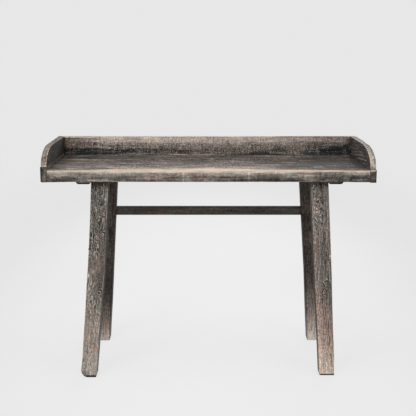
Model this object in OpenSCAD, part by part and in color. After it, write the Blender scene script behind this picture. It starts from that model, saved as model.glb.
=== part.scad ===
// Hall table: a plank top with a raised gallery round its back and ends, on four splayed legs.
// X runs along the table, Y from its front to its back, and Z up from the floor.
// The origin is on the floor, under the middle of the table.

/* [Top] */
// Length of the top, over its end strips
top_w = 1202; // [1000:2:1600]
// Depth of the top, from its front edge to its back edge
top_d = 412; // [380:1:520]
// Height of the table surface above the floor
surface_z = 777; // [700:1:900]
// Thickness of the planks
plank_t = 44; // [38:1:60]
// Depth of the front plank, from the front edge to the seam
front_plank_d = 190; // [170:1:220]
// Length of the tongues on the planks
tongue_l = 10; // [6:1:12]
// Thickness of the tongues on the planks
tongue_t = 12; // [8:1:16]
// How far a tongue stops short of the sides of its plank
tongue_stop = 20; // [15:1:25]
// Radius of the rounded upper front edge
front_arris_r = 5; // [2:1:10]

/* [End strips] */
// Width of the strips that cap the ends of the planks
strip_w = 22; // [22:1:30]
// How far the end strips reach below the planks
strip_drop = 2; // [0:1:6]
// How far the left end strip rises above the table surface
left_lip = 11; // [0:1:16]
// How far the right end strip rises above the table surface
right_lip = 0; // [0:1:16]

/* [Gallery] */
// Height of the back board and the left side board above the table surface
gallery_h = 74; // [60:1:110]
// Height of the right side board above the table surface
right_board_h = 73; // [55:1:110]
// Thickness of the side boards
side_board_t = 20.5; // [17:0.5:20.5]
// How far the side boards stand in from the ends of the top
side_board_inset = 0.5; // [0.5:0.5:1.5]
// How far the side boards stand back from the front edge
side_board_setback = 12; // [4:1:24]
// Length of the falling curve on the left side board
left_curve_l = 125; // [80:1:180]
// Length of the falling curve on the right side board
right_curve_l = 150; // [80:1:180]
// Height of the upright front below the curve, above the table surface
curve_foot_h = 5; // [2:1:10]
// Fullness of the curve where it leaves the top of the board
curve_top_power = 1.7; // [1.3:0.1:2.5]
// Fullness of the curve where it meets the front of the board
curve_front_power = 2.1; // [1.5:0.1:3]
// Thickness of the back board
back_board_t = 21; // [17:1:26]
// Depth of the rebates in the side boards that hold the back board
rebate_l = 6; // [3:1:10]
// Radius of the rounded upper edges of the back board
back_arris_r = 3; // [2:1:8]

/* [Legs] */
// From the left end of the top to the middle of the front left leg, under the top
front_left_inset = 207; // [195:1:240]
// From the right end of the top to the middle of the front right leg, under the top
front_right_inset = 198; // [195:1:240]
// From each end of the top to the middle of the rear leg, under the top
rear_inset = 211; // [195:1:240]
// How far the foot of the front left leg stands out sideways
front_left_splay = 53; // [20:1:90]
// How far the foot of the front right leg stands out sideways
front_right_splay = 41; // [20:1:90]
// How far the feet of the rear legs stand out sideways
rear_splay = 50; // [20:1:90]
// From the front or back edge of the top to the middle of a leg, under the top
leg_setback = 75; // [65:1:90]
// How far the foot of the front left leg stands out to the front
front_left_kick = 65; // [20:1:75]
// How far the foot of the front right leg stands out to the front
front_right_kick = 46; // [20:1:75]
// How far the feet of the rear legs stand out to the back
rear_kick = 65; // [20:1:75]
// Width of a leg under the top
leg_top_w = 64; // [54:1:75]
// Width of a leg at the floor
leg_foot_w = 54; // [44:1:75]
// Height above the floor at which a leg starts to narrow towards its foot
leg_knee_z = 340; // [150:10:420]
// Depth of a leg under the top
leg_top_d = 60; // [50:1:65]
// Depth of a leg at the floor
leg_foot_d = 60; // [44:1:65]
// Width of the tenons that pass up through the planks
leg_tenon_w = 38; // [28:1:44]
// Depth of the tenons that pass up through the planks
leg_tenon_d = 34; // [24:1:40]
// Thickness of a tenon wedge at the table surface
wedge_t = 4; // [2:0.5:6]
// Thickness of a tenon wedge at its tip
wedge_tip_t = 1; // [0.5:0.5:2]
// Height of a tenon wedge
wedge_h = 32; // [20:1:36]

/* [Stretchers] */
// Height of the middle of the rear stretcher above the floor
rear_stretcher_z = 558; // [545:1:620]
// Height of the rear stretcher
rear_stretcher_h = 33; // [28:1:50]
// Thickness of the rear stretcher
rear_stretcher_t = 26; // [20:1:34]
// Height of the middle of the side stretchers above the floor
side_stretcher_z = 470; // [380:1:480]
// Height of the side stretchers
side_stretcher_h = 45; // [30:1:50]
// Thickness of the side stretchers
side_stretcher_t = 26; // [20:1:34]
// Thickness of the stretcher tenons
tenon_t = 12; // [8:1:16]
// Length of the stretcher tenons inside the legs
tenon_l = 34; // [24:1:36]
// How far the tenons are cut back above and below
tenon_shoulder = 6; // [3:1:8]

/* [Battens] */
// From the left end of the top to the middle of the left batten
left_batten_inset = 153; // [130:1:158]
// From the right end of the top to the middle of the right batten
right_batten_inset = 145; // [130:1:158]
// Width of a batten under the planks
batten_w = 53; // [44:1:60]
// How far a batten hangs below the planks
batten_drop = 7; // [6:1:16]
// Radius of the rounded lower edges of a batten
batten_r = 7; // [4:1:8]
// Width of the dovetail at the underside of the planks
dovetail_neck_w = 30; // [24:1:32]
// Width of the dovetail at its top
dovetail_top_w = 38; // [34:1:42]
// Height of the dovetail in the planks
dovetail_h = 20; // [12:1:22]
// Gap between a batten and the legs that it is notched round
batten_leg_gap = 0.5; // [0.2:0.1:2]

/* [Pegs and dowels] */
// Diameter of the pegs through the stretcher tenons
tenon_peg_d = 8; // [6:1:10]
// Distance from the shoulder of a stretcher tenon to its peg
tenon_peg_offset = 16; // [12:1:18]
// How far a tenon peg runs on past its tenon
peg_overrun = 8; // [4:1:10]
// Diameter of the pegs through the end strips
strip_peg_d = 6; // [4:1:6]
// From the inner side of an end strip to its pegs
strip_peg_offset = 5; // [4:1:6]
// From the side of a tongue to its nearest peg
strip_peg_margin = 26; // [15:1:40]
// How far the pegs in the end strips stop below the table surface
strip_peg_cover = 6; // [4:1:10]
// Diameter of the dowels under the gallery boards
dowel_d = 8; // [6:1:10]
// Depth of the dowels in the gallery boards
dowel_up_l = 22; // [14:1:26]
// Depth of the dowels of the back board in the rear plank
dowel_down_l = 18; // [12:1:18]
// Wood left between a dowel and the tongue below it
dowel_cover = 2; // [1:1:4]
// From the front edge to the first dowel under a side board
side_dowel_first = 95; // [85:1:105]
// Distance between the dowels under a side board
side_dowel_pitch = 105; // [80:1:110]
// Number of dowels under each side board
side_dowels = 3; // [2:1:3]
// From the inner side of a side board to the last dowel of the back board
back_dowel_margin = 40; // [30:1:60]
// Number of dowels under the back board
back_dowels = 6; // [4:1:6]

/* [Fits] */
// Gap on each side of a joint between flat faces
joint_gap = 0.2; // [0.1:0.1:0.4]
// Gap round a peg or a dowel
peg_gap = 0.1; // [0.05:0.05:0.3]

/* [Hidden] */
$fn = 48;

left = -1;
right = 1;
front = -1;
rear = 1;
curve_steps = 18;
// Long enough to cut through the whole table
reach = 2 * (top_w + top_d + surface_z);
// How far a cut runs on past the face that it opens
past = 1;

underside_z = surface_z - plank_t;
front_y = -top_d / 2;
back_y = top_d / 2;
seam_y = front_y + front_plank_d;
plank_end_x = top_w / 2 - strip_w;
board_outer_x = top_w / 2 - side_board_inset;
board_inner_x = board_outer_x - side_board_t;
tongue_z = underside_z + (plank_t - tongue_t) / 2;
wood_dark = [0.27, 0.24, 0.22];
wood_mid = [0.42, 0.38, 0.34];
wood_pale = [0.55, 0.49, 0.43];

// Legs, each one named by its end of the table and its row

function leg_inset(end, row) =
    row == rear ? rear_inset : end == left ? front_left_inset : front_right_inset;
function leg_splay(end, row) =
    row == rear ? rear_splay : end == left ? front_left_splay : front_right_splay;
function leg_kick(end, row) =
    row == rear ? rear_kick : end == left ? front_left_kick : front_right_kick;
// Share of a leg's slope at a height, from 0 under the top to 1 at the floor
function slope(z) = (underside_z - z) / underside_z;
function leg_x(end, row, z) =
    end * (top_w / 2 - leg_inset(end, row) + leg_splay(end, row) * slope(z));
function leg_y(end, row, z) =
    row * (top_d / 2 - leg_setback + leg_kick(end, row) * slope(z));
function leg_w(z) = leg_foot_w + (leg_top_w - leg_foot_w) * min(1, z / leg_knee_z);
function leg_d(z) = leg_top_d + (leg_foot_d - leg_top_d) * slope(z);
// The side of a leg that faces the middle of the table
function leg_inner_x(end, row, z) = leg_x(end, row, z) - end * leg_w(z) / 2;
function leg_inner_y(end, row, z) = leg_y(end, row, z) - row * leg_d(z) / 2;
// A side stretcher lies midway between the legs that it joins
function side_stretcher_x(end) =
    (leg_x(end, front, side_stretcher_z) + leg_x(end, rear, side_stretcher_z)) / 2;
function rear_stretcher_y() = leg_y(left, rear, rear_stretcher_z);
function batten_x(end) =
    end * (top_w / 2 - (end == left ? left_batten_inset : right_batten_inset));

// Shapes that several pieces share

// A box between two corners
module box(low, high) {
    translate(low)
        cube(high - low);
}

// An outline in X and Z, drawn out along Y
module along_y(from, to) {
    translate([0, to, 0])
        rotate([90, 0, 0])
            linear_extrude(to - from)
                children();
}

// An outline in Y and Z, drawn out along X
module along_x(from, to) {
    translate([from, 0, 0])
        rotate([90, 0, 90])
            linear_extrude(to - from)
                children();
}

// An upright outline with a middle and a width at each of some heights, from the lowest to the highest
module bands(heights, middles, widths) {
    last = len(heights) - 1;
    polygon(concat(
        [for (i = [0:last]) [middles[i] - widths[i] / 2, heights[i]]],
        [for (i = [last:-1:0]) [middles[i] + widths[i] / 2, heights[i]]]
    ));
}

// A rectangle between two corners
module flat(low, high) {
    translate(low)
        square(high - low);
}

// A rectangle between two corners, with its two upper corners rounded
module round_topped(low, high, r) {
    intersection() {
        flat(low, high);
        union() {
            flat([low.x, low.y - r], [high.x, high.y - r]);
            flat([low.x + r, low.y - r], [high.x - r, high.y]);
            translate([low.x + r, high.y - r])
                circle(r);
            translate([high.x - r, high.y - r])
                circle(r);
        }
    }
}

// A slanting bar along the middle line of a leg, with a width and a depth at each of some heights
module leg_bar(end, row, heights, widths, depths) {
    intersection() {
        along_y(-reach, reach)
            bands(heights, [for (z = heights) leg_x(end, row, z)], widths);
        along_x(-reach, reach)
            bands(heights, [for (z = heights) leg_y(end, row, z)], depths);
    }
}

// The outside of a leg below the top, or with a gap the space that it takes up
module leg_form(end, row, gap = 0) {
    heights = [0, leg_knee_z, underside_z + gap];
    leg_bar(end, row, heights,
        [for (z = heights) leg_w(z) + 2 * gap], [for (z = heights) leg_d(z) + 2 * gap]);
}

// The tenon of a leg, or with a gap the mortise that takes it
module leg_tenon(end, row, z_low, z_high, gap) {
    w = leg_tenon_w + 2 * gap;
    d = leg_tenon_d + 2 * gap;
    leg_bar(end, row, [z_low, z_high], [w, w], [d, d]);
}

// The wedge that spreads a tenon, also used to cut its slot
module wedge_form(end, row) {
    tip_z = surface_z - wedge_h;
    along_y(-reach, reach)
        bands([tip_z, surface_z], [leg_x(end, row, tip_z), leg_x(end, row, surface_z)],
            [wedge_tip_t, wedge_t]);
}

// The tenons of the rear stretcher as one bar through both legs
module rear_tenon_bar(gap) {
    y = rear_stretcher_y();
    z = rear_stretcher_z;
    half_h = rear_stretcher_h / 2 - tenon_shoulder + gap;
    box([leg_inner_x(left, rear, z) - tenon_l - gap, y - tenon_t / 2 - gap, z - half_h],
        [leg_inner_x(right, rear, z) + tenon_l + gap, y + tenon_t / 2 + gap, z + half_h]);
}

// The tenons of a side stretcher as one bar through both legs
module side_tenon_bar(end, gap) {
    x = side_stretcher_x(end);
    z = side_stretcher_z;
    half_h = side_stretcher_h / 2 - tenon_shoulder + gap;
    box([x - tenon_t / 2 - gap, leg_inner_y(end, front, z) - tenon_l - gap, z - half_h],
        [x + tenon_t / 2 + gap, leg_inner_y(end, rear, z) + tenon_l + gap, z + half_h]);
}

// The peg through a tenon of the rear stretcher, driven in from the back
module rear_peg_bar(end, gap) {
    z = rear_stretcher_z;
    translate([leg_inner_x(end, rear, z) + end * tenon_peg_offset,
            rear_stretcher_y() - tenon_t / 2 - peg_overrun - gap, z])
        rotate([-90, 0, 0])
            cylinder(d = tenon_peg_d + 2 * gap, h = leg_top_d + leg_foot_d);
}

// The peg through a tenon of a side stretcher, driven in from the end of the table
module side_peg_bar(end, row, gap) {
    z = side_stretcher_z;
    translate([side_stretcher_x(end) - end * (tenon_t / 2 + peg_overrun + gap),
            leg_inner_y(end, row, z) + row * tenon_peg_offset, z])
        rotate([0, end * 90, 0])
            cylinder(d = tenon_peg_d + 2 * gap, h = leg_top_w + leg_foot_w);
}

// The dovetail of a batten, or with a gap the groove that takes it
module dovetail(end, gap) {
    along_y(front_y - gap, back_y + gap)
        translate([batten_x(end), underside_z])
            polygon([
                [-dovetail_neck_w / 2 - gap, -gap],
                [dovetail_neck_w / 2 + gap, -gap],
                [dovetail_neck_w / 2 + gap, 0],
                [dovetail_top_w / 2 + gap, dovetail_h + gap],
                [-dovetail_top_w / 2 - gap, dovetail_h + gap],
                [-dovetail_neck_w / 2 - gap, 0]
            ]);
}

// The tongue at an end of a plank, or with a gap the groove that takes it
module end_tongue(end, y_low, y_high, gap) {
    x_low = end == left ? -plank_end_x - tongue_l - gap : plank_end_x - past;
    x_high = end == left ? -plank_end_x + past : plank_end_x + tongue_l + gap;
    box([x_low, y_low + tongue_stop - gap, tongue_z - gap],
        [x_high, y_high - tongue_stop + gap, tongue_z + tongue_t + gap]);
}

// The tongue along the seam, or with a gap the groove that takes it
module seam_tongue(gap) {
    box([-plank_end_x + tongue_stop - gap, seam_y - tongue_l - gap, tongue_z - gap],
        [plank_end_x - tongue_stop + gap, seam_y + past, tongue_z + tongue_t + gap]);
}

// The pegs that pin the tongues in one end strip
module strip_pegs(end, gap) {
    first = tongue_stop + strip_peg_margin;
    z_low = underside_z - strip_drop;
    for (y = [front_y + first, seam_y - first, seam_y + first, back_y - first])
        translate([end * (plank_end_x + strip_peg_offset), y, z_low])
            cylinder(d = strip_peg_d + 2 * gap, h = surface_z - strip_peg_cover - z_low);
}

// The height of the top of an end strip
function strip_top_z(end) = surface_z + (end == left ? left_lip : right_lip);

// An upright dowel between two heights, or with a gap its hole
module dowel(x, y, z_low, z_high, gap) {
    translate([x, y, z_low - gap])
        cylinder(d = dowel_d + 2 * gap, h = z_high - z_low + 2 * gap);
}

module dowels_under_side_board(end, gap) {
    z_low = tongue_z + tongue_t + dowel_cover;
    for (i = [0:side_dowels - 1])
        dowel(end * (board_inner_x + side_board_t / 2),
            front_y + side_dowel_first + i * side_dowel_pitch,
            z_low, strip_top_z(end) + dowel_up_l, gap);
}

module dowels_under_back_board(gap) {
    first = board_inner_x - back_dowel_margin;
    for (i = [0:back_dowels - 1])
        dowel(-first + 2 * first * i / (back_dowels - 1), back_y - back_board_t / 2,
            surface_z - dowel_down_l, surface_z + dowel_up_l, gap);
}

// The back board, or with a gap the space that it fills at its ends
module back_board_form(gap) {
    half_l = board_inner_x + rebate_l + gap;
    along_x(-half_l, half_l)
        round_topped([back_y - back_board_t - gap, surface_z], [back_y, surface_z + gallery_h],
            back_arris_r);
}

// The planks

module plank_cuts() {
    for (end = [left, right])
        dovetail(end, joint_gap);
    for (end = [left, right])
        for (row = [front, rear])
            leg_tenon(end, row, underside_z - past, surface_z + past, joint_gap);
    for (end = [left, right])
        strip_pegs(end, peg_gap);
}

module front_plank() {
    color(wood_mid)
        difference() {
            union() {
                along_x(-plank_end_x, plank_end_x)
                    intersection() {
                        flat([front_y, underside_z], [seam_y, surface_z]);
                        round_topped([front_y, underside_z], [back_y, surface_z], front_arris_r);
                    }
                for (end = [left, right])
                    end_tongue(end, front_y, seam_y, 0);
            }
            plank_cuts();
            seam_tongue(joint_gap);
        }
}

module rear_plank() {
    color(wood_mid)
        difference() {
            union() {
                box([-plank_end_x, seam_y, underside_z], [plank_end_x, back_y, surface_z]);
                for (end = [left, right])
                    end_tongue(end, seam_y, back_y, 0);
                seam_tongue(0);
            }
            plank_cuts();
            dowels_under_back_board(peg_gap);
        }
}

// The end strips

module end_strip(end) {
    inner = end * plank_end_x;
    outer = end * top_w / 2;
    color(wood_dark)
        difference() {
            box([min(inner, outer), front_y, underside_z - strip_drop],
                [max(inner, outer), back_y, strip_top_z(end)]);
            end_tongue(end, front_y, seam_y, joint_gap);
            end_tongue(end, seam_y, back_y, joint_gap);
            strip_pegs(end, peg_gap);
            dowels_under_side_board(end, peg_gap);
            back_board_form(joint_gap);
        }
}

module left_end_strip() {
    end_strip(left);
}

module right_end_strip() {
    end_strip(right);
}

// The gallery

module back_board() {
    color(wood_mid)
        difference() {
            back_board_form(0);
            dowels_under_back_board(peg_gap);
        }
}

// Height of the curve at a share of its length, from 0 at the top to 1 at the front
function curve_z(share) =
    pow(max(0, 1 - pow(share, curve_top_power)), 1 / curve_front_power);

module gallery_board(end, board_h, curve_l) {
    board_front_y = front_y + side_board_setback;
    rise = board_h - curve_foot_h;
    base_z = strip_top_z(end);
    crown = [
        for (i = [0:curve_steps])
            let (share = sin(90 * i / curve_steps))
                [board_front_y + curve_l * (1 - share),
                    surface_z + curve_foot_h + rise * curve_z(share)]
    ];
    outline = concat([[back_y, surface_z + board_h]], crown);
    outer = end * board_outer_x;
    inner = end * board_inner_x;
    color(wood_dark)
        difference() {
            along_x(min(outer, inner), max(outer, inner))
                intersection() {
                    polygon(concat(outline, [[board_front_y, surface_z], [back_y, surface_z]]));
                    flat([front_y, base_z], [back_y, surface_z + board_h]);
                }
            back_board_form(joint_gap);
            dowels_under_side_board(end, peg_gap);
        }
}

module left_gallery_board() {
    gallery_board(left, gallery_h, left_curve_l);
}

module right_gallery_board() {
    gallery_board(right, right_board_h, right_curve_l);
}

// The battens

module batten(end) {
    low_z = underside_z - batten_drop;
    color(wood_dark)
        union() {
            difference() {
                along_y(front_y, back_y)
                    translate([batten_x(end), low_z])
                        mirror([0, 1])
                            round_topped([-batten_w / 2, -batten_drop], [batten_w / 2, 0], batten_r);
                for (row = [front, rear])
                    leg_form(end, row, batten_leg_gap);
            }
            dovetail(end, 0);
        }
}

module left_batten() {
    batten(left);
}

module right_batten() {
    batten(right);
}

// The legs

module leg(end, row) {
    color(wood_mid)
        difference() {
            union() {
                leg_form(end, row);
                leg_tenon(end, row, underside_z, surface_z, 0);
            }
            wedge_form(end, row);
            side_tenon_bar(end, joint_gap);
            side_peg_bar(end, row, peg_gap);
            if (row == rear) {
                rear_tenon_bar(joint_gap);
                rear_peg_bar(end, peg_gap);
            }
        }
}

module front_left_leg() {
    leg(left, front);
}

module front_right_leg() {
    leg(right, front);
}

module rear_left_leg() {
    leg(left, rear);
}

module rear_right_leg() {
    leg(right, rear);
}

// The stretchers

module rear_stretcher() {
    y = rear_stretcher_y();
    z = rear_stretcher_z;
    color(wood_dark)
        difference() {
            union() {
                difference() {
                    box([leg_x(left, rear, z), y - rear_stretcher_t / 2, z - rear_stretcher_h / 2],
                        [leg_x(right, rear, z), y + rear_stretcher_t / 2, z + rear_stretcher_h / 2]);
                    for (end = [left, right])
                        leg_form(end, rear);
                }
                rear_tenon_bar(0);
            }
            for (end = [left, right])
                rear_peg_bar(end, peg_gap);
        }
}

module side_stretcher(end) {
    x = side_stretcher_x(end);
    z = side_stretcher_z;
    color(wood_dark)
        difference() {
            union() {
                difference() {
                    box([x - side_stretcher_t / 2, leg_y(end, front, z), z - side_stretcher_h / 2],
                        [x + side_stretcher_t / 2, leg_y(end, rear, z), z + side_stretcher_h / 2]);
                    for (row = [front, rear])
                        leg_form(end, row);
                }
                side_tenon_bar(end, 0);
            }
            for (row = [front, rear])
                side_peg_bar(end, row, peg_gap);
        }
}

module left_side_stretcher() {
    side_stretcher(left);
}

module right_side_stretcher() {
    side_stretcher(right);
}

// The small pieces

module tenon_wedges() {
    color(wood_pale)
        for (end = [left, right])
            for (row = [front, rear])
                intersection() {
                    wedge_form(end, row);
                    leg_tenon(end, row, underside_z, surface_z, 0);
                }
}

module rear_stretcher_pegs() {
    color(wood_pale)
        for (end = [left, right])
            intersection() {
                rear_peg_bar(end, 0);
                leg_form(end, rear);
            }
}

module side_stretcher_pegs() {
    color(wood_pale)
        for (end = [left, right])
            for (row = [front, rear])
                intersection() {
                    side_peg_bar(end, row, 0);
                    leg_form(end, row);
                }
}

module end_strip_pegs() {
    color(wood_pale)
        for (end = [left, right])
            strip_pegs(end, 0);
}

module side_board_dowels() {
    color(wood_pale)
        for (end = [left, right])
            dowels_under_side_board(end, 0);
}

module back_board_dowels() {
    color(wood_pale)
        dowels_under_back_board(0);
}

front_plank();
rear_plank();
left_end_strip();
right_end_strip();
back_board();
left_gallery_board();
right_gallery_board();
left_batten();
right_batten();
front_left_leg();
front_right_leg();
rear_left_leg();
rear_right_leg();
rear_stretcher();
left_side_stretcher();
right_side_stretcher();
tenon_wedges();
rear_stretcher_pegs();
side_stretcher_pegs();
end_strip_pegs();
side_board_dowels();
back_board_dowels();
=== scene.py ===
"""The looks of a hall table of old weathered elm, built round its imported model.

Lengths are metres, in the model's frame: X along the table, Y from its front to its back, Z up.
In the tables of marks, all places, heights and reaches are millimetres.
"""

import itertools
import math

import bmesh
import bpy
import numpy as np
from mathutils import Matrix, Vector, kdtree

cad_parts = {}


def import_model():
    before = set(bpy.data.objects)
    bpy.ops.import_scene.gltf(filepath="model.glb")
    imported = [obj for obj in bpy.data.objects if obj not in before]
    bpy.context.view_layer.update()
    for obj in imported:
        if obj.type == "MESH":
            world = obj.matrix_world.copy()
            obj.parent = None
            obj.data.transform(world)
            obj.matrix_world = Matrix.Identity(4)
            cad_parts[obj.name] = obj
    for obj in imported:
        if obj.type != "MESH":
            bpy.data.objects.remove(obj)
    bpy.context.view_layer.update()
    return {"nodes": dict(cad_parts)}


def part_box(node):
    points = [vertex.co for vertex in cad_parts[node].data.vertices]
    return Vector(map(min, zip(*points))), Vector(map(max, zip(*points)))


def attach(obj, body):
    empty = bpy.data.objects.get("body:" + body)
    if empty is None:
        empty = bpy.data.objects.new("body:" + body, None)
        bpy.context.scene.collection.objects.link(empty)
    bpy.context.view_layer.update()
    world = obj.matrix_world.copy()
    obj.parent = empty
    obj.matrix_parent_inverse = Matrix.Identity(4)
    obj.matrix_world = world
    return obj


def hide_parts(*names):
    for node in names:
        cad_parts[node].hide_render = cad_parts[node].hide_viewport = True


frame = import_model()

MM = 0.001
SEED = 11
BODY = "root"

# Camera, fitted to the outline in the photograph; its lens and sensor are in millimetres
CAMERA_AT = (-1.75 * MM, -3.237, 1.259)
CAMERA_TILT = math.radians(11.55)
CAMERA_LENS = 74.42
CAMERA_SENSOR = 36

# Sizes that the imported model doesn't give by a box
LEG_TOP_W = 64 * MM
LEG_FOOT_W = 54 * MM
LEG_KNEE_Z = 340 * MM
LEG_D = 60 * MM
TENON_W = 38 * MM
TENON_D = 34 * MM
WEDGE_T = 4 * MM
WEDGE_H = 32 * MM
DOVETAIL_NECK = 30 * MM
DOVETAIL_TOP = 38 * MM
DOVETAIL_H = 20 * MM
DOVETAIL_STEPS = 6
BATTEN_LEG_GAP = 0.5 * MM

# Play in the joints, and how far one piece runs into the next so that no light shows between them
JOINT_GAP = 0.35 * MM
BEDDING = 1.5 * MM
PAST = 5 * MM

LEFT, RIGHT = -1, 1
FRONT, REAR = -1, 1
X, Y, Z = 0, 1, 2
LOW, HIGH = 0, 1
# The corners of a square about its middle, in order
SQUARE = ((-1, -1), (1, -1), (1, 1), (-1, 1))

# Tones, as a share of white on the screen: of a piece where nothing else is said, of the sides of the
# planks and battens that lie in the shade, and of the pegs
PLAIN = 0.4
SHADED_WOOD = 0.27
PEG_TONE = 0.3

# Distance between the rings of the wood where they run straight
RING_STEP = 7 * MM


# Noise

LATTICE_SIDE = 32
LATTICE = np.random.default_rng(SEED).random((LATTICE_SIDE,) * 3) * 2 - 1


def noise(points, scale, seed=0):
    """Smooth random values from -1 to 1, one for each point; scale is in cells per metre on each axis."""
    where = np.asarray(points, float) * np.asarray(scale, float) + 17.3 * seed
    cell = np.floor(where).astype(int)
    part = where - cell
    part = part * part * (3 - 2 * part)
    total = np.zeros(len(where))
    for corner in itertools.product((0, 1), repeat=3):
        weight = np.prod(np.where(corner, part, 1 - part), axis=1)
        index = (cell + corner) % LATTICE_SIDE
        total += weight * LATTICE[index[:, 0], index[:, 1], index[:, 2]]
    return total


def layered(points, scale, layers=3, seed=0):
    """Noise with finer layers added, each half as strong as the one before."""
    scale = np.asarray(scale, float)
    total = sum(noise(points, scale * 2**k, seed + k) / 2**k for k in range(layers))
    return total / sum(1 / 2**k for k in range(layers))


def smooth(low, high, value):
    """0 below low, 1 above high and a smooth step between; high may be the smaller one."""
    share = np.clip((value - low) / (high - low), 0, 1)
    return share * share * (3 - 2 * share)


def near(value, centre, reach, full=0):
    """1 within a full distance of a centre, falling to 0 at a reach from it."""
    return smooth(reach, full, np.abs(value - centre))


def noises(points, *parts):
    """Layered noises added up, each by its strength, scale, layers and seed."""
    return sum(strength * layered(points, scale, layers, seed) for strength, scale, layers, seed in parts)


def along_points(value, points):
    """Reads a line through a few given points, each by its place in mm and its height."""
    places, heights = zip(*points)
    return np.interp(value, np.array(places) * MM, heights)


# Meshes

# Where the grid lines beside an arris lie, as shares of the width of the arris
ARRIS_LINES = np.array([0, 0.3, 0.65, 1.0, 1.5])


def grid_lines(length, step, arris):
    """Places of grid lines along a side, closer together near both ends."""
    dense = arris * ARRIS_LINES
    count = max(2, round((length - 2 * dense[-1]) / step) + 1)
    inner = np.linspace(dense[-1], length - dense[-1], count)
    return np.concatenate([dense[:-1], inner, length - dense[:-1][::-1]])


def box_surface(size, step, arris):
    """The vertices of a finely divided box's surface, from a corner at the origin, and its quads."""
    lines = [grid_lines(size[axis], step[axis], arris) for axis in range(3)]
    counts = [len(line) for line in lines]
    grid = np.stack(np.meshgrid(*lines, indexing="ij"), -1)
    on_side = np.zeros(counts, bool)
    for axis in range(3):
        for end in (0, -1):
            picked = [slice(None)] * 3
            picked[axis] = end
            on_side[tuple(picked)] = True
    index = np.full(counts, -1)
    index[on_side] = np.arange(on_side.sum())
    quads = []
    for axis in range(3):
        for end in (0, counts[axis] - 1):
            side = np.take(index, end, axis)
            corners = [side[:-1, :-1], side[1:, :-1], side[1:, 1:], side[:-1, 1:]]
            quads.append(np.stack([c.ravel() for c in corners], -1))
    return grid[on_side], np.concatenate(quads)


def round_arrises(points, size, radius):
    """Pulls a box's surface points onto rounded arrises; returns the points and their outward normals."""
    half = np.asarray(size) / 2
    local = points - half
    core = half - radius[:, None]
    away = local - np.clip(local, -core, core)
    normal = away / np.linalg.norm(away, axis=1, keepdims=True)
    return local - away + normal * radius[:, None] + half, normal


def new_object(name, points, faces):
    """A closed mesh from points and faces, with every face turned outward."""
    mesh = bpy.data.meshes.new(name)
    mesh.from_pydata([tuple(p) for p in points], [], [tuple(f) for f in faces])
    shape = bmesh.new()
    shape.from_mesh(mesh)
    bmesh.ops.recalc_face_normals(shape, faces=shape.faces)
    shape.to_mesh(mesh)
    shape.free()
    made = bpy.data.objects.new(name, mesh)
    bpy.context.scene.collection.objects.link(made)
    return made


def ring_faces(count, around, start=0):
    """The faces of a closed solid through rings of points; start is the number of its first point."""
    last = start + (count - 1) * around
    faces = []
    for ring in range(start, last, around):
        for k in range(around):
            a, b = ring + k, ring + (k + 1) % around
            faces.append((a, b, b + around, a + around))
    for ring in (start, last):
        faces.append(tuple(range(ring, ring + around)))
    return faces


def rings_solid(name, rings):
    """A closed solid through rings of points that all have the same number of points."""
    rings = np.asarray(rings)
    return new_object(name, rings.reshape(-1, 3), ring_faces(*rings.shape[:2]))


def block(name, low, high):
    """A plain box, used only to cut."""
    square = ((0, 0), (1, 0), (1, 1), (0, 1))
    corner = np.array([low, high])
    rings = [[(corner[a][X], corner[b][Y], corner[c][Z]) for a, b in square] for c in (LOW, HIGH)]
    return rings_solid(name, rings)


# How many rings a blade has, and how far it wavers
BLADE_RINGS = 22
BLADE_WOBBLE = 0.6 * MM


def split_blade(name, start, end, depth, width, seed):
    """A thin blade that cuts a drying crack: widest in the middle, closing at both ends.

    start and end lie on the surface, and depth is the vector from there to the bottom of the crack.
    """
    start, end, depth = (np.asarray(v, float) for v in (start, end, depth))
    run = end - start
    side = np.cross(run, depth)
    side /= np.linalg.norm(side)
    out = -0.4 * depth
    random = np.random.default_rng(seed)
    rings = []
    for share in np.linspace(0, 1, BLADE_RINGS):
        swell = math.sin(math.pi * share) ** 0.7 * (0.7 + 0.3 * random.random()) + 0.04
        middle = start + run * share + side * BLADE_WOBBLE * random.normal() * (0 < share < 1)
        half = side * width / 2 * swell
        mouth, wide = middle + out, half * 1.4
        rings.append([mouth - wide, mouth + wide, middle + depth * max(swell, 0.15)])
    return rings_solid(name, rings)


def combine(made, others, operation):
    """Adds other solids to one, or cuts them out of it, and deletes them."""
    for other in others:
        boolean = made.modifiers.new("boolean", "BOOLEAN")
        boolean.operation = operation
        boolean.solver = "MANIFOLD"
        boolean.object = other
        scene_now = bpy.context.evaluated_depsgraph_get()
        result = bpy.data.meshes.new_from_object(made.evaluated_get(scene_now))
        made.modifiers.clear()
        spent = made.data
        made.data = result
        bpy.data.meshes.remove(spent)
        tool = other.data
        bpy.data.objects.remove(other)
        bpy.data.meshes.remove(tool)


def mesh_points(mesh):
    flat = np.empty(len(mesh.vertices) * 3)
    mesh.vertices.foreach_get("co", flat)
    return flat.reshape(-1, 3)


def set_attribute(mesh, name, values):
    values = np.asarray(values, np.float32)
    is_vector = values.ndim == 2
    layer = mesh.attributes.new(name, "FLOAT_VECTOR" if is_vector else "FLOAT", "POINT")
    layer.data.foreach_set("vector" if is_vector else "value", values.ravel())


MARKS = ("wear", "tone", "figure", "warmth", "knots")
# How wide the part of a side is where the mesh is fine, beside each arris
FINE_ARRIS = 6 * MM
# How deep the dents along the fibres are
DENT = 0.22 * MM


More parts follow.
